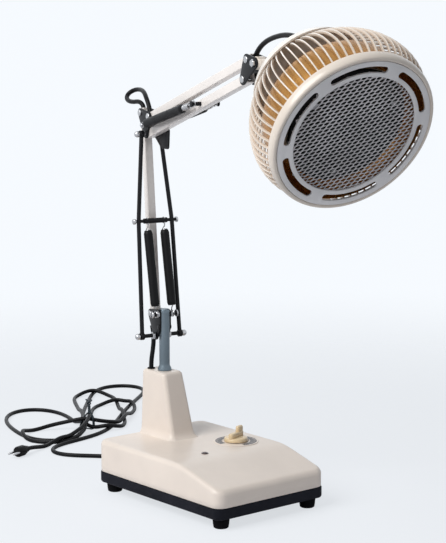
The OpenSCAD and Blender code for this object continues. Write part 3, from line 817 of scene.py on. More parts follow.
    def build_feet(self) -> None:
        """Four feet turned from one outline, narrower towards the floor."""
        shell = Shell()
        top = self.foot_top + 0.4
        profile = [[0, 0], [9.6, 0], [10.8, 0.9], [11.6, 6.0], [12.3, 13.0], [12.3, top], [0, top]]
        for x in (-self.foot_at[0], self.foot_at[0]):
            for y in (-self.foot_at[1], self.foot_at[1]):
                shell.lathe(profile, upright(x, y, 0), 40, closed=False)
        self.shop.fit(shell.make("feet"), RUBBER, "base", "rubber", "rubber_feet")

    def build_dial(self) -> None:
        """The printed dial: a thin ring, and the knob with its skirt, grip bar and upright fin."""
        place = upright(*self.dial, self.deck)
        inner, outer = self.dial_r
        outline = rounded_profile([[inner, 0.0], [outer, 0.0], [outer, 0.75], [inner, 0.75]], 0.3)
        piece = Shell().lathe(outline, place, 128).make("dial_ring")
        self.shop.fit(piece, CREAM, "base", "dial", "dial_plate")
        piece.data.materials.clear()
        piece.data.materials.append(self.dial_material())
        along = (math.cos(self.knob_turn), math.sin(self.knob_turn), 0)
        knob_place = BASE.inner((*self.dial, self.deck + 1.2), along, (0, 0, 1))
        skirt = [[0, 0], [18, 0], [18, 1.2], [17.6, 4.0], [16.8, 5.0], [15.4, 5.6], [0, 6.2]]
        knob = Shell().lathe(skirt, knob_place, 96, closed=False)
        knob.loft(slab_rings([[-13.4, 0.0], [13.4, 0.0]], 4.5, 4.0, 13.0, 2.2, 72), knob_place)
        knob.loft(slab_rings([[6.5, 0.0], [13.5, 0.0]], 3.6, 11.0, 21.0, 2.4, 72), knob_place)
        self.shop.fit(knob.make("knob"), KNOB, "knob", "knob", "timer_knob")
        shaft = Shell()
        shaft.lathe(bolt_profile(3.0, 31.0, 0.5), upright(*self.dial, self.deck - 19.0), 32, closed=False)
        self.shop.fit(shaft.make("knob_shaft"), STEEL, "knob", "steel", "timer_shaft")

    def dial_material(self) -> bpy.types.Material:
        """Cream print ground with a dark band round most of the ring and pale strokes across it.

        The band is where the distance from the dial's middle is in range and the angle is in range; the
        strokes are where the sine of a multiple of the angle is near its top.
        """
        mat, tree, shader, coords = new_material("dial_print")
        spot = tree.nodes.new("ShaderNodeMapping")
        centre = BASE.world([[*self.dial, 0.0]])[0] * MM
        spot.inputs["Location"].default_value = (-centre[0], -centre[1], 0.0)
        link(tree, coords, "Object", spot, "Vector")
        parts = tree.nodes.new("ShaderNodeSeparateXYZ")
        link(tree, spot, 0, parts, 0)
        flat = tree.nodes.new("ShaderNodeCombineXYZ")
        link(tree, parts, 0, flat, 0)
        link(tree, parts, 1, flat, 1)

        def calc(kind: str, a: Node, out: int = 0, b: float | Node = 0.0) -> Node:
            """One sum on a value."""
            node = tree.nodes.new("ShaderNodeMath")
            node.operation = kind
            link(tree, a, out, node, 0)
            if isinstance(b, Node):
                link(tree, b, 0, node, 1)
            else:
                node.inputs[1].default_value = b
            return node

        radius = calc("MULTIPLY", add_length(tree, flat, 0), 1, 1000.0)
        angle = calc("ARCTAN2", parts, 1, parts)
        inside = calc("LESS_THAN", radius, 0, self.band_r[1])
        band = calc("MULTIPLY", calc("GREATER_THAN", radius, 0, self.band_r[0]), 0, inside)
        turn = calc("SINE", calc("ADD", angle, 0, 0.9))
        shown = calc("GREATER_THAN", turn, 0, -0.82)
        dark = calc("MULTIPLY", band, 0, shown)
        stroke = calc("GREATER_THAN", calc("SINE", calc("MULTIPLY", angle, 0, self.strokes)), 0, 0.965)
        ring = calc("MULTIPLY", calc("GREATER_THAN", radius, 0, self.stroke_r), 0, stroke)
        plain = calc("SUBTRACT", dark, 0, calc("MULTIPLY", ring, 0, dark))
        print_mix = add_mix(tree, CREAM.colour, (0.07, 0.06, 0.06), plain)
        link(tree, print_mix, 2, shader, "Base Color")
        shader.inputs["Roughness"].default_value = 0.38
        return mat

    def build_pilot(self) -> None:
        """The pilot lamp: a turned bezel that carries a domed lens."""
        place = upright(*self.pilot, self.deck - 13.0)
        t = np.linspace(0, math.pi / 2, 7)
        dome = polar(1.0, t) * [3.4, 1.3] + [0.0, 14.2]
        lens = np.vstack(
            [[[0, 0], [4.0, 0], [4.0, 13.0], [5.2, 13.0], [5.2, 13.9], [4.7, 14.4], [3.7, 14.4]], dome]
        )
        lamp = Shell().lathe(lens, place, 48, closed=False)
        self.shop.fit(lamp.make("pilot_light"), LENS, "base", "lens", "pilot_lamp")

    def build_outlets(self) -> None:
        """The grommet on the pedestal and the ribbed gland that the mains cord leaves by."""
        top = self.pedestal_top
        grommet = [
            [3.5, top - 4], [4.5, top - 4], [4.5, top], [6.0, top], [6.0, top + 1.0], [5.2, top + 1.7],
            [3.5, top + 1.7],
        ]
        shell = Shell().lathe(rounded_profile(grommet, 0.4), upright(*GROMMET, 0), 40)
        self.shop.fit(shell.make("grommet"), RUBBER, "base", "cord_black", "cable_grommet")
        z = np.linspace(3.0, 36.0, 67)
        r = 6.5 - 2.3 * (z - 3.0) / 33.0 - 0.55 * (np.sin(z * TAU / 4.4) > 0.35)
        gland = np.vstack(
            [
                [[0, -8], [5.9, -8], [5.9, 0], [8.5, 0], [8.5, 2.2], [7.8, 3.0]], np.column_stack([r, z]),
                [[0, 36.0]],
            ]
        )
        shell = Shell().lathe(gland, BASE.inner(self.gland, (1, 0, 0), (0, 1, 0)), 48, closed=False)
        self.shop.fit(shell.make("cord_bush"), RUBBER, "base", "cord_black", "cord_gland")


# ---------- the stem and the lower arm ----------


# Pivots and pins of the arm at rest, as x and z in the arm's place
AXLE = (-12.0, 232.0)
TUBE_FOOT = (-31.0, 263.0)
SPRING_BAR = (0.0, 266.0)
RIVET = (0.0, 246.0)
LEAN = math.radians(5.9)
RISE = math.radians(17.0)
ROD_LENGTH = 307.0
CROSS_UP = 175.0
BAR_LENGTH = 323.0
SPRING_REACH = 187.0


def moved(spot: Pair, x: float, z: float) -> Pair:
    """An arm point moved by x and z."""
    return spot[0] + x, spot[1] + z


def up_arm(length: float) -> Pair:
    """The point at a length along the leaning lower arm, from the rod axle."""
    return moved(AXLE, -length * math.sin(LEAN), length * math.cos(LEAN))


def out_arm(length: float) -> Pair:
    """The point at a length along the rising upper arm, from the elbow."""
    return moved(ELBOW, length * math.cos(RISE), length * math.sin(RISE))


ELBOW = up_arm(ROD_LENGTH)
TUBE_HEAD = moved(ELBOW, TUBE_FOOT[0] - AXLE[0], TUBE_FOOT[1] - AXLE[1])
CROSS = up_arm(CROSS_UP)
WRIST = out_arm(BAR_LENGTH)
TOP_REAR = moved(ELBOW, 10.0, 27.0)
TOP_FRONT = moved(WRIST, 10.0, 27.0)
HOOK = moved(ELBOW, 6.0, 14.0)
SPRING_PIN = out_arm(SPRING_REACH)
TILT = moved(WRIST, 32.0, 23.0)
# Faces of the arm plates, radius of the pins, side of the square bars, and where the springs hang
PLATE_IN = 7.0
PLATE_OUT = 9.5
PIN_R = 3.0
BAR_SIDE = 13.0
LOW_SPRING_Y = 14.0
HIGH_SPRING_Y = 17.5
SIDES = (-1.0, 1.0)


def arm_plate(shell: Shell, points: list[Pair], radius: float, y0: float, y1: float) -> Shell:
    """Adds a plate of the arm: the band round its points, carried from y0 to y1 with soft edges."""
    flat = np.array([[p[0], -p[1]] for p in points])
    place = Place(ARM.origin, ARM.x, tuple(-v for v in ARM.z), ARM.y)
    return shell.loft(slab_rings(flat, radius, min(y0, y1), max(y0, y1), 0.5, 120), place)


def plate_pair(points: list[Pair], radius: float) -> Shell:
    """The same plate on both sides of the arm."""
    plates = Shell()
    for side in SIDES:
        arm_plate(plates, points, radius, side * PLATE_IN, side * PLATE_OUT)
    return plates


def pin(shell: Shell, spot: Pair, radius: float, half: float) -> Shell:
    """Adds a pin across the arm, from -half to half, with chamfered ends."""
    cut = 0.4
    side = [[radius - cut, -half], [radius, -half + cut], [radius, half - cut], [radius - cut, half]]
    return shell.lathe([[0, -half], *side, [0, half]], across(spot), 32, closed=False)


def outward(spot: Pair, y: float) -> Place:
    """A place whose z points away from the middle of the arm, on the side that y lies on."""
    return ARM.inner((spot[0], y, spot[1]), (1, 0, 0), (0, 1 if y > 0 else -1, 0))


def on_sides(shell: Shell, spot: Pair, reach: float, profile: Points, segments: int) -> Shell:
    """Adds a turned part on both sides of the arm, pointing outwards, at a reach from its middle."""
    for side in SIDES:
        shell.lathe(profile, outward(spot, side * reach), segments, closed=False)
    return shell


def square_bar(a: Pair, b: Pair, overrun: float) -> Shell:
    """A square tube: a rounded square carried along its length, turned in at both open ends.

    The outline shrinks over each lip and goes back down the bore, whose end is closed.
    """
    place, length = between(a, b)
    low, high = -overrun, length + overrun
    end = [(3.9, low + 9), (1.5, low + 9), (1.5, low + 0.3), (1.2, low), (0.4, low), (0.0, low + 0.4)]
    steps = end + [(0.0, z) for z in np.linspace(low + 4, high - 4, 7)]
    steps += [(inset, low + high - z) for inset, z in reversed(end)]
    rings = []
    for inset, z in steps:
        w = BAR_SIDE - 2 * inset
        rings.append(at_height(round_box(w, w, min(1.5, w / 2 - 0.1), 48), z))
    return Shell().loft(np.stack(rings), place)


@dataclass
class CoilSpring:
    """A tension spring in a sleeve: a helix with a hook at both ends, and a shrunk tube over the helix."""

    length: float
    bare_start: float = 17.0
    sleeve: float = 120.0
    sleeve_r: float = 6.9
    coil_r: float = 4.1
    wire_r: float = 0.85
    hook_r: float = 4.6
    hook_room: float = 13.0
    pitch: float = 2.0

    def wire(self) -> Array:
        """Centre line of the wire.

        A hook is a circle arc in the x-z plane round the pin; the helix point is (R cos a, R sin a, pitch a
        over one turn), and its ends run in on straight legs.
        """
        a = np.linspace(-0.35 * math.pi, 1.4 * math.pi, 22)
        foot = np.column_stack([self.hook_r * np.sin(a), np.zeros(22), -self.hook_r * np.cos(a)])
        low, high = self.hook_room, self.length - self.hook_room
        turns = (high - low) / self.pitch
        b = np.linspace(0, TAU * turns, int(turns * 14))
        coil = at_height(polar(self.coil_r, b), low + self.pitch * b / TAU)
        legs = np.array([[-2.5, 0.0, 7.5], [0.0, 0.0, 9.5], [2.2, -0.6, 11.6]])
        head = foot[::-1] * [-1, 1, -1] + [0, 0, self.length]
        end_legs = -legs[::-1] + [0, 0, self.length]
        return np.vstack([foot, legs, coil, end_legs, head])

    def add(self, springs: Shell, sleeves: Shell, place: Place) -> None:
        """Adds the wire to one shell and the sleeve to another, at a place whose z runs along the spring."""
        springs.tube(
            even_line(calm_line(self.wire(), 1), 1.0), self.wire_r, place, [0.05, 0.02, 1.0], 7,
        )
        z = np.linspace(0, self.sleeve, 61)
        r = self.sleeve_r - 0.22 * (0.5 + 0.5 * np.cos(z * TAU / 4.0))
        r[:2], r[-2:] = (5.4, 6.0), (6.0, 5.4)
        outer = np.column_stack([r, z + self.bare_start])
        inner = [[5.1, self.bare_start + self.sleeve], [5.1, self.bare_start]]
        sleeves.lathe(np.vstack([outer, inner]), place, 36)


@dataclass
class LowerArm:
    """Stem, lever plates, side rods, square tube and the lower balance springs."""

    shop: Workshop
    rod_r: float = 3.25
    rod_low_y: float = 32.0
    rod_mid_y: float = 28.0
    rod_high_y: float = 16.0
    overrun: float = 7.5
    spring_bare: float = 12.5
    spring_ends: float = 27.5

    def build(self) -> None:
        """Makes every piece between the pedestal and the elbow."""
        self.build_stem()
        self.build_levers()
        self.build_rods()
        self.build_tube()
        self.build_springs()

    def build_stem(self) -> None:
        """The stem: a turned bar with a collar on the pedestal and two flats at its top.

        Each ring is a circle whose y is clipped to the half thickness between the flats, which closes in
        over a short run below the levers.
        """
        levels = [100, 178.6, 179.2, 179.4, 182.0, 187.0, 190, 200, 214, 219, 222, 224, 240, 256, 268]
        levels = np.array(levels + [272.5, 273.6, 274.0])
        radius = np.array([7.8, 7.9, 7.9, 10.5, 10.5, 8.1] + [8.0] * 10 + [7.5, 6.6])
        flat = np.array([9, 11, 11, 11, 11, 9, 8.5, 8.5, 8.2, 7.8, 7.1] + [6.9] * 6 + [6.4])
        a = np.arange(72) * TAU / 72
        x = radius[:, None] * np.cos(a)
        y = np.clip(radius[:, None] * np.sin(a), -flat[:, None], flat[:, None])
        rings = np.stack([x, y, np.broadcast_to(levels[:, None], x.shape)], axis=-1)
        self.shop.fit(
            Shell().loft(rings, ARM).make("stem_bar", 28.0), STEM, "stem_group", "stem_steel", "stem",
        )

    def build_levers(self) -> None:
        """The two lever plates with their rivet, the tube's pivot pin, the rod axle and the spring bar."""
        corners = [AXLE, TUBE_FOOT, moved(SPRING_BAR, -3.0, 0.0), moved(RIVET, -3.0, 0.0)]
        levers = plate_pair(corners, 7.0).make("levers")
        self.shop.fit(levers, BLACK, "stem_group", "black_paint", "lever_plates")
        rivet = pin(Shell(), RIVET, 2.5, PLATE_OUT)
        on_sides(rivet, RIVET, PLATE_OUT, bolt_profile(4.0, 1.4, 0.9), 32)
        self.shop.fit(rivet.make("lever_rivet"), BLACK, "stem_group", "black_paint", "stem_rivet")
        pivot = pin(Shell(), TUBE_FOOT, PIN_R, PLATE_OUT)
        on_sides(pivot, TUBE_FOOT, PLATE_OUT, bolt_profile(4.6, 1.7, 1.0), 32)
        self.shop.fit(pivot.make("pivot_pin"), CHROME, "stem_group", "chrome", "tube_pivot_pin")
        axle = pin(Shell(), AXLE, PIN_R, self.rod_low_y + 4.5)
        self.shop.fit(axle.make("axle"), BLACK, "stem_group", "black_paint", "rod_axle")
        nuts = Shell()
        for side in SIDES:
            nuts.lathe(ball_nut(5.0), outward(AXLE, side * (self.rod_low_y + 3.2)), 40, closed=False)
            nuts.loft(hexagon_rings(6.2, 0.05, 4.0), outward(AXLE, side * (PLATE_OUT + 2.0)))
        self.shop.fit(nuts.make("axle_nut_set"), CHROME, "stem_group", "chrome", "axle_nuts")
        bar = pin(Shell(), SPRING_BAR, PIN_R, 21.0)
        self.shop.fit(bar.make("spring_anchor"), BLACK, "stem_group", "black_paint", "spring_bar")
        caps = Shell()
        for side in SIDES:
            caps.lathe(bolt_profile(5.4, 2.9, 1.5), outward(SPRING_BAR, side * 19.6), 40, closed=False)
            caps.loft(hexagon_rings(5.4, 0.0, 2.8), outward(SPRING_BAR, side * (PLATE_OUT + 0.2)))
        self.shop.fit(caps.make("anchor_nuts"), CHROME, "stem_group", "chrome", "spring_bar_nuts")

    def build_rods(self) -> None:
        """The side rods, round bars with an eye at each end that bend at the bar across them."""
        rods = Shell()
        rod_foot, rod_head = up_arm(5.0), up_arm(ROD_LENGTH - 5.0)
        for side in SIDES:
            low = [rod_foot[0], side * (self.rod_low_y - 0.3), rod_foot[1]]
            knee = [CROSS[0], side * self.rod_mid_y, CROSS[1]]
            high = [rod_head[0], side * (self.rod_high_y + 0.3), rod_head[1]]
            line = calm_line(even_line(np.array([low, knee, high]), 3.0), 3)
            rods.tube(line, self.rod_r, ARM, [0.0, 1.0, 0.0], 24)
            for spot, y in ((AXLE, self.rod_low_y), (ELBOW, self.rod_high_y)):
                eye = rounded_profile([[3.15, -3.0], [5.6, -3.0], [5.6, 3.0], [3.15, 3.0]], 0.8)
                rods.lathe(eye, across(spot, side * y), 40)
        self.shop.fit(rods.make("rod_pair"), BLACK, "rods", "black_paint", "side_rods")
        bar = pin(Shell(), CROSS, 2.5, 38.0)
        sleeve = rounded_profile([[2.5, -19.5], [4.0, -19.5], [4.0, 19.5], [2.5, 19.5]], 0.5)
        bar.lathe(sleeve, across(CROSS), 32)
        self.shop.fit(bar.make("cross_spacer"), BLACK, "rods", "black_paint", "cross_bar")
        nuts = on_sides(Shell(), CROSS, 34.0, bolt_profile(4.4, 4.2, 1.8), 36)
        self.shop.fit(nuts.make("spacer_nuts"), CHROME, "rods", "chrome", "cross_bar_nuts")

    def build_tube(self) -> None:
        """The white square tube of the lower arm."""
        tube = square_bar(TUBE_FOOT, TUBE_HEAD, self.overrun)
        self.shop.fit(tube.make("arm_tube"), WHITE, "tube", "white_paint", "lower_tube")

    def build_springs(self) -> None:
        """The two balance springs beside the tube and their sleeves."""
        springs, sleeves = Shell(), Shell()
        for side in SIDES:
            place, length = between(SPRING_BAR, CROSS, side * LOW_SPRING_Y)
            spring = CoilSpring(length, bare_start=self.spring_bare, sleeve=length - self.spring_ends)
            spring.add(springs, sleeves, place)
        self.shop.fit(
            springs.make("spring_wires_low"), CHROME, "lower_spring_pair", "chrome", "lower_springs",
        )
        self.shop.fit(
            sleeves.make("sleeves_low"), SLEEVE, "lower_spring_pair", "sleeve", "lower_spring_sleeves",
        )


# ---------- the elbow and the upper arm ----------


@dataclass
class UpperArm:
    """Elbow plates, the two bars of the upper arm, its springs, and the plates that carry the head."""

    shop: Workshop
    spring_bare: float = 13.0
    spring_sleeve: float = 132.0
    overrun: float = 7.0
    late: float = 3.4

    def build(self) -> None:
        """Makes every piece between the elbow and the head."""
        self.build_elbow()
        self.build_bars()
        self.build_springs()
        self.build_wrist()

    def build_elbow(self) -> None:
        """The elbow plates, the pins through them and their nuts; the far plate has a lobe."""
        near = arm_plate(Shell(), [ELBOW, TUBE_HEAD, TOP_REAR], 7.0, -PLATE_OUT, -PLATE_IN)
        self.shop.fit(near.make("elbow_near"), BLACK, "elbow", "black_paint", "elbow_plate_near")
        far = arm_plate(Shell(), [ELBOW, TUBE_HEAD, TOP_REAR], 7.0, PLATE_IN, PLATE_OUT)
        lobe = [(0.0, 0.0), (42.0, 6.0), (40.0, -16.0), (22.0, -16.0)]
        arm_plate(far, [moved(ELBOW, x, z) for x, z in lobe], 5.0, PLATE_IN + 0.02, PLATE_OUT - 0.02)
        self.shop.fit(far.make("elbow_far"), BLACK, "elbow", "black_paint", "elbow_plate_far")
        pins = pin(Shell(), ELBOW, PIN_R, 20.0)
        pin(pins, TUBE_HEAD, PIN_R, PLATE_OUT)
        pin(pins, TOP_REAR, PIN_R, PLATE_OUT)
        nuts = Shell()
        for side in SIDES:
            stub = [[0, 0], [3.0, 0], [3.0, 12.6], [2.4, 13.3], [0, 13.5]]
            pins.lathe(stub, outward(HOOK, side * PLATE_IN), 28, closed=False)
            nuts.lathe(ball_nut(5.0), outward(ELBOW, side * 19.6), 40, closed=False)
            for spot in (TUBE_HEAD, TOP_REAR):
                nuts.lathe(bolt_profile(5.0, 2.5, 1.4), outward(spot, side * PLATE_OUT), 36, closed=False)
        self.shop.fit(pins.make("elbow_pin_set"), STEEL, "elbow", "steel", "elbow_pins")
        self.shop.fit(nuts.make("elbow_nut_set"), CHROME, "elbow", "chrome", "elbow_nuts")

    def build_bars(self) -> None:
        """The lower and the top bar, and the pin that the springs pull on.

        The lower bar starts late, so that its rear end clears the tube when the arm leans back.
        """
        lower = square_bar(out_arm(self.late), WRIST, self.overrun)
        self.shop.fit(lower.make("bar_low"), WHITE, "lower_bar_group", "white_paint", "lower_bar")
        top = square_bar(TOP_REAR, TOP_FRONT, self.overrun)
        self.shop.fit(top.make("bar_top"), WHITE, "top_bar_group", "white_paint", "top_bar")
        stud = pin(Shell(), SPRING_PIN, PIN_R, 21.0)
        on_sides(stud, SPRING_PIN, 21.0, bolt_profile(4.5, 2.0, 0.8), 32)
        self.shop.fit(stud.make("spring_stud"), BLACK, "lower_bar_group", "black_paint", "spring_pin")

    def build_springs(self) -> None:
        """The balance springs of the upper arm: sleeved for most of their length, bare towards the head."""
        springs, sleeves = Shell(), Shell()
        for side in SIDES:
            place, length = between(HOOK, SPRING_PIN, side * HIGH_SPRING_Y)
            spring = CoilSpring(length, bare_start=self.spring_bare, sleeve=self.spring_sleeve)
            spring.add(springs, sleeves, place)
        self.shop.fit(
            springs.make("spring_wires_high"), CHROME, "upper_spring_pair", "chrome", "upper_springs",
        )
        self.shop.fit(
            sleeves.make("sleeves_high"), SLEEVE, "upper_spring_pair", "sleeve", "upper_spring_sleeves",
        )

    def build_wrist(self) -> None:
        """The bracket plates at the end of the upper arm, their pins and the clamp bolt of the head."""
        plates = plate_pair([WRIST, TOP_FRONT, TILT], 8.0)
        self.shop.fit(plates.make("bracket"), BLACK, "wrist", "black_paint", "head_brackets")
        pins = Shell()
        for spot in (WRIST, TOP_FRONT):
            pin(pins, spot, PIN_R, PLATE_OUT)
            on_sides(pins, spot, PLATE_OUT, bolt_profile(5.0, 2.0, 1.2), 36)
        self.shop.fit(pins.make("bracket_pin_set"), CHROME, "wrist", "chrome", "bracket_pins")
        clamp = pin(Shell(), TILT, PIN_R, PLATE_OUT)
        for side in SIDES:
            clamp.loft(hexagon_rings(5.6, 0.0, 4.0), outward(TILT, side * PLATE_OUT))
        self.shop.fit(clamp.make("clamp_bolt"), CHROME, "wrist", "chrome", "tilt_bolt")


# ---------- the head ----------


@dataclass
class Head:
    """Dome cap, caged body, rolled rim, slotted front ring, mesh, reflector and what heats behind them."""

    shop: Workshop
    ribs: int = 68
    rib_width: float = 2.1
    rib_depth: float = 4.0
    ring_r: float = 106.0
    opening_r: float = 84.0
    ring_half: float = 0.9
    ring_bevel: float = 0.45
    ring_level: float = -1.4
    neck_back: float = 164.0
    slots: int = 6
    slot_r: float = 94.2
    slot_half: float = 4.9
    slot_arc: float = math.radians(43.0)
    roll: float = math.radians(13.0)
    cell: Pair = (8.5, 5.0)
    hole: Pair = (0.468, 0.45)
    sheet_r: float = 87.0

    def build(self) -> None:
        """Makes every piece of the head."""
        self.build_dome()
        self.build_cage()
        self.build_ring()
        self.build_mesh()
        self.build_reflector()
        self.build_heater()
        self.build_neck()

    def wall(self, line: Array, thick: float) -> Array:
        """Closed outline of a thin wall: the line, and the same line moved in by the wall's thickness."""
        t = directions(line)
        normal = np.column_stack([t[:, 1], -t[:, 0]])
        inner = line - normal * thick
        inner[:, 0] = np.maximum(inner[:, 0], 0.0)
        return np.vstack([line, inner[::-1]])

    def build_dome(self) -> None:
        """The closed rear cap: a smooth curve through the meridian's points, turned about the axis."""
        line = bend_line([[0.0, -160.0], [24, -159.3], [52, -150.2], [72, -134.5], [82, -117.0]], 8)
        outline = self.wall(line, -2.2)
        cap = Shell().lathe(outline, HEAD, 128)
        self.shop.fit(cap.make("dome", 40.0), ENAMEL, "head", "head_enamel", "dome_cap")

    def build_cage(self) -> None:
        """The ribs and the rolled rim.

        A rib is a rounded flat bar carried along the meridian's curve, its depth towards the axis; all ribs
        are the first one turned by equal steps.
        """
        meridian = [
            [79.0, -119.5], [92, -103.5], [104.5, -84.5], [113.5, -65], [118.3, -44], [116.6, -27],
            [110.2, -12.6],
        ]
        line = bend_line(meridian, 3)
        t = directions(line)
        inward = np.column_stack([-t[:, 1], t[:, 0]])
        inward *= np.sign(-inward[:, :1])
        w, d = self.rib_width / 2, self.rib_depth
        section = rounded_profile([[-w, 0.0], [w, 0.0], [w, d], [-w, d]], 0.9, 3)
        rz = line[:, None, :] + section[None, :, 1:2] * inward[:, None, :]
        one = np.stack([rz[..., 0], np.broadcast_to(section[:, 0], rz.shape[:2]), rz[..., 1]], axis=-1)
        shell = Shell()
        for k in range(self.ribs):
            shell.loft(one @ spin((k + 0.5) * TAU / self.ribs), HEAD)
        self.shop.fit(shell.make("ribs"), ENAMEL, "head", "head_enamel", "cage_ribs")
        front = [[-1.2, -8], [-0.5, -4], [0.1, -0.8], [1.9, 0.6], [4.9, -0.6], [6.5, -5]]
        rear = [[6.7, -10], [6.0, -14.4], [2.7, -14.4], [2.1, -9]]
        outline = np.array(front + rear) + [self.ring_r, 0.0]
        rim = Shell().lathe(rounded_profile(outline, 2.2, 5), HEAD, 160)
        self.shop.fit(rim.make("rim"), ENAMEL, "head", "head_enamel", "cage_rim")

    def slot_line(self, k: int) -> Array:
        """Outline of one curved slot: two arcs about the axis joined by half circles."""
        mid = k * TAU / self.slots + self.roll
        a = np.linspace(-self.slot_arc / 2, self.slot_arc / 2, 28)
        b = np.linspace(0, math.pi, 12)[1:-1]
        outer = polar(self.slot_r + self.slot_half, mid + a)
        inner = polar(self.slot_r - self.slot_half, mid - a)

        def cap(end: float, start: float) -> Array:
            """Half circle at one end of the slot."""
            middle = self.slot_r * np.array([math.cos(end), math.sin(end)])
            return middle + polar(self.slot_half, start + b)

        high = mid + self.slot_arc / 2
        low = mid - self.slot_arc / 2
        return np.vstack([outer, cap(high, high), inner, cap(low, low + math.pi)])

    def build_ring(self) -> None:
        """The flat front ring: circles and slots filled as one flat curve with a rounded edge."""
        curve = bpy.data.curves.new("ring_outline", "CURVE")
        curve.dimensions = "2D"
        curve.fill_mode = "BOTH"
        curve.extrude = self.ring_half * MM
        curve.bevel_depth = self.ring_bevel * MM
        curve.bevel_resolution = 2
        a = np.arange(192) * TAU / 192
        loops = [polar(self.ring_r - 0.8, a), polar(self.opening_r + 0.4, a)]
        loops += [self.slot_line(k) for k in range(self.slots)]
        for loop in loops:
            spline = curve.splines.new("POLY")
            spline.points.add(len(loop) - 1)
            spline.points.foreach_set("co", at_height(at_height(loop * MM, 0.0), 1.0).ravel())
            spline.use_cyclic_u = True
        holder = bpy.data.objects.new("ring_outline", curve)
        bpy.context.scene.collection.objects.link(holder)
        bpy.context.view_layer.update()
        mesh = bpy.data.meshes.new_from_object(holder)
        bpy.data.objects.remove(holder)
        flat = np.empty(len(mesh.vertices) * 3)
        mesh.vertices.foreach_get("co", flat)
        local = flat.reshape(-1, 3) / MM + [0.0, 0.0, self.ring_level]
        mesh.vertices.foreach_set("co", (HEAD.world(local) * MM).ravel())
        mesh.name = "face_ring"
        tidy(mesh, 40.0)
        piece = bpy.data.objects.new("face_ring", mesh)
        bpy.context.scene.collection.objects.link(piece)
        self.shop.fit(piece, GREY, "head", "grey_enamel", "front_ring")
        skirt = rounded_profile([[101.7, -6.9], [103.9, -6.9], [103.9, -2.4], [101.7, -2.4]], 0.5)
        flange = Shell().lathe(skirt, HEAD, 128)
        lip = rounded_profile([[84.2, -2.6], [85.6, -2.6], [85.6, -1.2], [84.2, -1.2]], 0.3)
        flange.lathe(lip, HEAD, 128)
        self.shop.fit(flange.make("ring_flange"), GREY, "head", "grey_enamel")

    def build_mesh(self) -> None:
        """The expanded mesh: one plate of brick-laid cells, each with a lens-shaped hole.

        A hole's outline is x = a cos t, y = b sin t drawn to points at its ends; the plate round it rises to
        the bonds between the cells and dips at the holes, and the whole has a wall's thickness.
        """
        w, h = self.cell
        sides = 16
        t = np.arange(sides) * TAU / sides
        box = polar(1.0, t)
        outer = box / np.maximum(np.abs(box[:, 0]) / (w / 2), np.abs(box[:, 1]) / (h / 2))[:, None]
        outer[np.isclose(np.abs(outer[:, 0]), 0, atol=1e-6), 0] = 0.0
        point = 0.62 + 0.38 * np.abs(np.sin(t))
        lens = np.column_stack([self.hole[0] * w * np.cos(t), self.hole[1] * h * np.sin(t) * point])
        lens = lens @ [[1.0, 0.10], [0.0, 1.0]]
        middle = 0.5 * outer + 0.5 * lens
        layers = [
            (outer, -3.5), (middle, -3.25), (lens, -3.75), (lens, -4.5), (middle, -4.2), (outer, -4.45),
        ]
        reach = self.sheet_r + 8.0
        cols, rows = int(reach / w) + 1, int(reach / h) + 1
        j, i = np.meshgrid(np.arange(-rows, rows + 1), np.arange(-cols, cols + 1), indexing="ij")
        centres = np.column_stack([(w * (i + 0.5 * (j % 2))).ravel(), (h * j).ravel()])
        centres = centres[np.hypot(centres[:, 0], centres[:, 1]) < self.sheet_r]
        cells = np.stack([at_height(line, z) for line, z in layers])
        points = cells[None] + at_height(centres, 0.0)[:, None, None, :]
        local = points @ spin(self.roll + math.pi / 2)
        one = quads(len(layers), sides)
        step = len(layers) * sides
        faces = (one[None] + (np.arange(len(centres)) * step)[:, None, None]).reshape(-1, 4)
        shell = Shell().add(HEAD.world(local.reshape(-1, 3)), faces)
        self.shop.fit(shell.make("mesh_sheet", 50.0), MESH, "head", "mesh", "mesh_grille")

    def build_reflector(self) -> None:
        """The gold bowl: a thin wall turned about the axis, open in front and at its rear neck."""
        neck = [[59.5, -87.5], [74, -84.5], [85, -79.5], [92.5, -70]]
        belly = [[97, -55], [99.4, -38], [100.4, -20], [100.8, -9]]
        shell = Shell().lathe(self.wall(bend_line(neck + belly, 5), -1.3), HEAD, 128)
        self.shop.fit(shell.make("bowl", 45.0), GOLD, "head", "gold", "reflector")

    def build_heater(self) -> None:
        """The heating plate behind the mesh, its coil, its insulation, the studs and the terminal."""
        plate = [[0, -24], [81, -24], [81, -21.4], [80, -20.4], [76, -20.0], [70, -20.6], [0, -20.2]]
        shell = Shell().lathe(plate, HEAD, 96, closed=False)
        self.shop.fit(shell.make("hot_plate"), EMITTER, "head", "emitter", "emitter_plate")
        self.shop.paint_node(COPPER, "heater_coil")
        self.shop.paint_node(CERAMIC, "insulation_disc", "head_terminal")
        self.shop.paint_node(STEEL, "emitter_studs")

    def build_neck(self) -> None:
        """The neck: a hub on the clamp bolt, a bar towards the dome and a turned flange on it."""
        shell = Shell()
        hub = rounded_profile([[3.1, -6.5], [9.0, -6.5], [9.0, 6.5], [3.1, 6.5]], 1.0)
        shell.lathe(hub, across(TILT), 48)
        root = moved(FACE_AT, -self.neck_back * math.cos(DROOP), self.neck_back * math.sin(DROOP))
        place, length = between(TILT, root)
        rings = slab_rings(box_corners(12.0, 11.0, 2.0), 2.0, 7.0, length - 1.0, 0.6, 64)
        shell.loft(rings, place)
        flange = [[0, -165], [19, -165], [22.5, -164.2], [24, -162.5], [24, -159.8], [0, -159.8]]
        shell.lathe(flange, HEAD, 64, closed=False)
        self.shop.fit(shell.make("neck"), ENAMEL, "head", "head_enamel", "head_neck")


# ---------- cables and the cord ----------


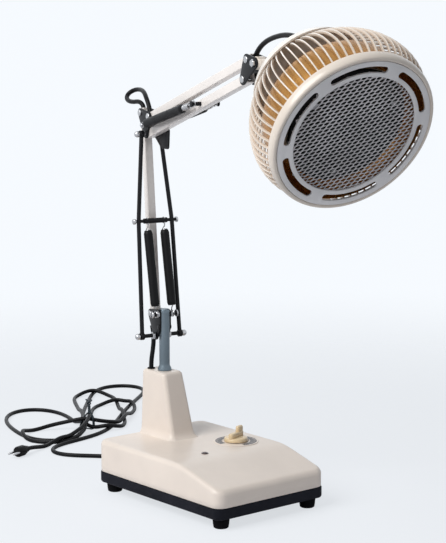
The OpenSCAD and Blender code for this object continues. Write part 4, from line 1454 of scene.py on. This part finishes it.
@dataclass
class Cabling:
    """The arm's cable, shown where it leaves the steelwork, and the tied mains cord behind the base.

    The cord's line has a point every step. Strands that cross keep a play between them, neighbours are
    points of one strand, and slope is the steepest that a strand climbs on its way over another.
    """

    shop: Workshop
    cable_r: float = 3.5
    cord_r: float = 3.4
    step: float = 4.0
    lying: float = 3.5
    play: float = 0.5
    neighbours: int = 10
    rounds: int = 14
    slope: float = 0.22
    plug_axis: float = 9.0
    plug_heading: float = math.radians(198.0)
    plug_run: float = 50.0
    tie_reach: float = 20.0
    lead_steps: int = 34
    waist: Pair = (116.0, 474.0)
    waist_heading: float = math.radians(10.0)

    def build(self) -> None:
        """Makes the cord first, then the three stretches of the arm's cable."""
        self.build_cord()
        self.build_arm_cables()

    def arm_cable(self, name: str, points: Points, place: Place, side: Points) -> Piece:
        """A round cable on a smooth line through a few points."""
        line = calm_line(even_line(bend_line(points, 10), 1.5), 2)
        shell = Shell().tube(line, self.cable_r, place, side, 14)
        return shell.make(name)

    def bend(self, piece: Piece, node: str, bodies: tuple[str, str]) -> None:
        """Paints a cable that crosses one joint, hides its CAD node and bakes its place into its points.

        Args:
            piece: the cable.
            node: the CAD node that it stands for.
            bodies: the body at its start and the body at its end.
        """
        piece.data.materials.append(self.shop.paint.material(CORD))
        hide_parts(node)
        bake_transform(piece)
        LOG.info("%s bends between %s and %s", piece.name, *bodies)

    def build_arm_cables(self) -> None:
        """The cable from the pedestal to the tube, the loop at the elbow, and the stretch into the dome."""
        gx, gy = GROMMET
        low = [[0, 0, 170], [0, 0, 184], [1, 0, 196], [4, 1, 208], [7, 3, 220], [9, 6, 232], [9, 9, 244]]
        line = [[gx + x, gy + y, z] for x, y, z in low]
        piece = self.arm_cable("cable_low", line, BASE, [0.2, 1.0, 0.0])
        ends = BASE.world([[gx, gy, 178.0], [gx + 9, gy + 9, 238.0]])
        self.bend(piece, "pedestal_cable", ("base", "stem_group"))
        loop = [
            [-62, -3, 569], [-63.5, -3, 578], [-70, -4, 583], [-79, -5, 584.5], [-92, -7, 583.5],
            [-106, -8, 584.5], [-117, -6, 589], [-121, 0, 595.5], [-113, 6, 600.5], [-97, 8, 601.5],
            [-78, 5, 598.5], [-61, 1, 590.5], [-51, 0, 580.5], [-44, 0, 567],
        ]
        piece = self.arm_cable("cable_loop", loop, ARM, [0.3, 1.0, 0.2])
        ends = ARM.world([[-63.0, -3.0, 574.0], [-96.0, -3.0, 592.0]])
        self.bend(piece, "elbow_cable", ("tube", "elbow"))
        high = [
            [284, 0, 662], [291, 0, 670], [302, 0, 678], [318, 0, 685], [338, 0, 690], [360, 0, 693],
            [382, 0, 693], [402, 0, 690], [417, 0, 685.5],
        ]
        piece = self.arm_cable("cable_high", high, ARM, [0.0, 1.0, 0.0])
        ends = ARM.world([[302.0, 0.0, 678.0], [402.0, 0.0, 690.0]])
        self.bend(piece, "head_cable", ("wrist", "head"))

    def route(self) -> Array:
        """The cord's centre line: from the bush down to the table, round the bundle's loops, to the plug.

        The plan is drawn through listed points. Heights come from settle().
        """
        lead = [
            [45, 180, 46], [45, 194, 44.5], [45, 208, 38], [44.5, 222, 28], [43.5, 236, 17], [41, 251, 8],
            [36, 268, 4], [27, 285, 3.5], [14, 302, 3.5], [-3, 317, 3.5], [-20, 332, 3.5], [-31, 349, 3.5],
            [-34, 368, 3.5], [-27, 386, 3.5],
        ]
        plan = [
            (-12, 398), (10, 405), (40, 410), (72, 415), (104, 424), (140, 444), (182, 480), (226, 522),
            (276, 566), (326, 606), (364, 638), (382, 662), (384, 688), (371, 710), (348, 722), (322, 720),
            (296, 704), (260, 668), (215, 618), (172, 568), (134, 516), (104, 472), (78, 440), (52, 424),
            (24, 424), (2, 440), (-8, 468), (0, 516), (14, 566), (38, 616), (70, 650), (104, 660),
            (130, 644), (141, 612), (138, 572), (125, 532), (114, 496), (113, 464), (124, 441), (148, 431),
            (172, 442), (196, 474), (226, 524), (258, 580), (288, 626), (298, 660), (288, 690), (262, 702),
            (236, 688), (214, 654), (186, 602), (156, 548), (126, 498), (100, 458), (72, 430), (42, 414),
            (12, 418), (-10, 438), (-18, 468), (-8, 500), (16, 520), (48, 520), (76, 504), (100, 478),
            (124, 456), (152, 450), (182, 464), (216, 494), (252, 522), (278, 550), (284, 582), (264, 606),
            (234, 606), (204, 584), (172, 544), (142, 502), (112, 462), (80, 436), (46, 424), (12, 418),
            (-24, 409), (-60, 398),
        ]
        path = np.vstack([bend_line(lead, 6)[:-1], at_height(bend_line(plan, 6), self.lying)])
        line = even_line(path, self.step)
        for reach in (7, 5, 3):
            line = calm_line(line, reach)
        return self.settle(even_line(line, self.step))

    def waist_axes(self) -> Array:
        """Directions along the bundle at its waist and across it."""
        return spin(self.waist_heading)[:2, :2]

    def from_waist(self, path: Array) -> tuple[Array, Array]:
        """Distances of the path's points from the waist, along the bundle and across it."""
        offset = (path[:, :2] - np.array(self.waist)) @ self.waist_axes().T
        return offset[:, 0], offset[:, 1]

    def settle(self, path: Array) -> Array:
        """Lifts the later strand over the earlier one wherever two strands meet.

        Two points nearer than a diameter need a height between them of the square root of the diameter
        squared less their distance squared. The heights then spread sideways in long slopes, and both
        steps repeat for a set number of rounds.

        Args:
            path: the centre line, lying flat, at even steps.

        Returns:
            The centre line with its heights.
        """
        gap = 2 * self.cord_r + self.play
        n = len(path)
        away = np.hypot(path[:, None, 0] - path[None, :, 0], path[:, None, 1] - path[None, :, 1])
        order = np.arange(n)
        earlier = (order[:, None] - order[None, :]) > self.neighbours
        rise = np.where(earlier & (away < gap), np.sqrt(np.maximum(gap**2 - away**2, 0.0)), -np.inf)
        slope = self.slope * self.step * np.abs(order[:, None] - order[None, :])
        z = path[:, 2].copy()
        for _ in range(self.rounds):
            z = np.maximum(z, np.max(rise + z[None, :], axis=1))
            spread = np.max(np.where(order < self.lead_steps, self.cord_r, z)[None, :] - slope, axis=1)
            z = np.where(order < self.lead_steps, z, spread)
        tail = np.clip(1.0 - (n - 1 - order) * self.step / self.plug_run, 0, 1)
        z = np.maximum(z, path[:, 2] + (self.plug_axis - self.lying) * tail**2 * (3 - 2 * tail))
        z = np.convolve(np.pad(z, 2, mode="edge"), np.ones(5) / 5, mode="valid")
        return np.column_stack([path[:, :2], z])

    def build_cord(self) -> None:
        """The mains cord, its tie and its plug."""
        path = self.route()
        shell = Shell().tube(path, self.cord_r, BASE, [0.0, 0.0, 1.0], 14)
        cord = shell.make("power_cord")
        cord.data.materials.append(self.shop.paint.material(CORD))
        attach(cord, "base")
        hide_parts("mains_cord", "cord_hank")
        plug = self.build_plug(path)
        tie = self.build_tie(path)
        world = BASE.world(path) * MM

    def build_tie(self, path: Array) -> Piece:
        """The tie at the waist of the bundle: a band pulled round the strands, and its two twisted ends.

        The strands' middles are where the cord goes through an upright plane across the waist.
        """
        place = BASE.inner((*self.waist, 0.0), (*self.waist_axes()[1], 0.0), (0, 0, 1))
        off, side = self.from_waist(path)
        hit = np.flatnonzero((off[:-1] * off[1:] <= 0) & (np.abs(side[:-1]) < self.tie_reach))
        strands = np.column_stack([side[hit], path[hit, 2]])
        LOG.info("the tie goes round %d strands", len(strands))
        shell = Shell()
        rings = []
        for reach, low, high in ((1.5, -2.6, 2.6), (0.5, 2.6, -2.6)):
            line = hull_line(strands, self.cord_r + reach, 96)
            line[:, 1] = np.maximum(line[:, 1], 1.6 - reach)
            rings += [np.column_stack([line[:, 0], np.full(96, y), line[:, 1]]) for y in (low, high)]
        shell.loft(np.stack(rings), place, caps=False, ring_loop=True)
        top = strands[np.argmax(strands[:, 1])] + [0.0, self.cord_r]
        t = np.linspace(0, 1, 40)
        for k in (-1, 1):
            twist = 1.5 * polar(1.0, 4 * TAU * t + k * 1.57)
            sway = 14.0 * k * np.clip(t - 0.5, 0, 1) ** 1.5
            end = np.column_stack(
                [top[0] + twist[:, 0] + sway + 5 * t, twist[:, 1] - 4 * t, top[1] + 22.0 * t]
            )
            shell.tube(end, 1.3, place, [0.1, 1.0, 0.15], 8)
        return self.shop.fit(shell.make("wire_tie"), TIE, "base", "cord_black")

    def build_plug(self, path: Array) -> list[Piece]:
        """The plug at the cord's end: a ribbed sleeve, a rounded body and two round pins."""
        away = (math.cos(self.plug_heading), math.sin(self.plug_heading), 0.0)
        place = BASE.inner(tuple(path[-1]), (0, 0, 1), away)
        z = np.linspace(0, 12, 25)
        r = 4.6 + 3.4 * z / 12 - 0.5 * (np.sin(z * TAU / 3.0) > 0.3)
        body = [[8.7, 12.6], [8.8, 14], [8.8, 25.5], [8.2, 27.4], [6.8, 28.0], [0, 28.0]]
        shell = Shell().lathe(np.vstack([[[0, 0]], np.column_stack([r, z]), body]), place, 48, closed=False)
        plug = self.shop.fit(shell.make("plug"), CORD, "base", "cord_black", "plug_body")
        pins = Shell()
        for x in (-5.0, 5.0):
            root = place.inner((0, x, 28.0), (1, 0, 0), (0, 0, 1))
            pins.lathe(bolt_profile(2.0, 16.0, 1.6), root, 24, closed=False)
        return [plug, self.shop.fit(pins.make("pins"), CHROME, "base", "chrome", "plug_pins")]


# ---------- studio ----------


@dataclass
class Studio:
    """Camera, floor, lamps and background."""

    backdrop: Triple = (0.925, 0.96, 1.0)
    floor_colour: Triple = (0.8, 0.815, 0.86)
    fade_start: float = 0.75
    fade_end: float = 2.2
    lens: float = 119.34
    camera_at: Triple = (-1.597, -1.8943, 0.740)
    camera_turn: Pair = (math.radians(81.39), math.radians(-39.83))

    def build(self) -> None:
        """Sets up everything around the lamp."""
        self.place_camera()
        self.lay_floor()
        self.hang_lights()
        self.paint_world()

    def place_camera(self) -> None:
        """A long lens at the photograph's viewing angle."""
        data = bpy.data.cameras.new("camera")
        data.sensor_fit = "VERTICAL"
        data.sensor_height = 36.0
        data.lens = self.lens
        data.clip_end = 50.0
        camera = bpy.data.objects.new("camera", data)
        camera.location = self.camera_at
        camera.rotation_euler = (self.camera_turn[0], 0.0, self.camera_turn[1])
        bpy.context.scene.collection.objects.link(camera)
        bpy.context.scene.camera = camera

    def lay_floor(self) -> None:
        """A wide round floor that fades into the background with the distance from the lamp."""
        a = np.arange(96) * TAU / 96
        rings = np.stack([at_height(polar(r, a), 0.0) for r in (0.0, 400, 900, 1600, 2600)])
        ground = Place((0, 0, 0), (1, 0, 0), (0, 1, 0), (0, 0, 1))
        floor = Shell().loft(rings, ground, caps=False).make("floor")
        mat, tree, shader, coords = new_material("pale_floor")
        ground_look = {"Base Color": (*self.floor_colour, 1.0), "Roughness": 0.75, "Specular IOR Level": 0.15}
        set_inputs(shader, ground_look)
        fade = tree.nodes.new("ShaderNodeMapRange")
        fade.interpolation_type = "SMOOTHSTEP"
        set_inputs(fade, {"From Min": self.fade_start, "From Max": self.fade_end})
        link(tree, add_length(tree, coords, "Object"), 1, fade, "Value")
        path = tree.nodes.new("ShaderNodeLightPath")
        seen = add_range(tree, path, 0.0, 1.0, 0.0, 0.72)
        glow = tree.nodes.new("ShaderNodeEmission")
        glow.inputs["Color"].default_value = (*self.backdrop, 1.0)
        lifted = tree.nodes.new("ShaderNodeMixShader")
        for slot, node in enumerate((seen, shader, glow)):
            link(tree, node, 0, lifted, slot)
        clear = tree.nodes.new("ShaderNodeBsdfTransparent")
        mix = tree.nodes.new("ShaderNodeMixShader")
        for slot, node in enumerate((fade, lifted, clear)):
            link(tree, node, 0, mix, slot)
        link(tree, mix, 0, tree.nodes["Material Output"], 0)
        floor.data.materials.append(mat)

    def hang_lights(self) -> None:
        """Three wide soft lamps: the key above the left of the view, a weak fill and a weak rear light."""
        spots = [
            ("key", (-2.1, 0.2, 2.2), 2.4, 78.0, (1.0, 0.99, 0.97)),
            ("fill", (0.6, -2.6, 1.5), 2.6, 2.0, (0.95, 0.97, 1.0)),
            ("rear", (1.2, 2.4, 2.2), 2.4, 8.0, (0.97, 0.98, 1.0)),
        ]
        aim = Vector((0.0, 0.0, 0.25))
        for name, at, size, power, colour in spots:
            data = bpy.data.lights.new(name, "AREA")
            data.shape = "DISK"
            data.size = size
            data.energy = power
            data.color = colour
            lamp = bpy.data.objects.new(name, data)
            lamp.location = at
            lamp.rotation_euler = (aim - Vector(at)).to_track_quat("-Z", "Y").to_euler()
            bpy.context.scene.collection.objects.link(lamp)

    def paint_world(self) -> None:
        """An even pale sky: bright to the camera, mirrors and glass, weaker as a light."""
        world = bpy.data.worlds.new("studio")
        bpy.context.scene.world = world
        world.use_nodes = True
        tree = world.node_tree
        ground = tree.nodes["Background"]
        ground.inputs["Color"].default_value = (*self.backdrop, 1.0)
        path = tree.nodes.new("ShaderNodeLightPath")
        seen = tree.nodes.new("ShaderNodeMath")
        seen.operation = "MAXIMUM"
        link(tree, path, "Is Camera Ray", seen, 0)
        link(tree, path, "Is Glossy Ray", seen, 1)
        seen_too = tree.nodes.new("ShaderNodeMath")
        seen_too.operation = "MAXIMUM"
        link(tree, seen, 0, seen_too, 0)
        link(tree, path, "Is Transmission Ray", seen_too, 1)
        level = add_range(tree, seen_too, 0.0, 1.0, 0.21, 1.0)
        link(tree, level, 0, ground, "Strength")


def main() -> None:
    """Builds the studio and then the lamp, cords first."""
    logging.basicConfig(level=logging.INFO, format="%(name)s: %(message)s")
    bpy.context.scene.view_settings.view_transform = "Standard"
    Studio().build()
    shop = Workshop(Paintbox())
    for unit in (Cabling(shop), BaseUnit(shop), LowerArm(shop), UpperArm(shop), Head(shop)):
        unit.build()
        LOG.info("%s is complete", type(unit).__name__)


if __name__ == "__main__":
    main()
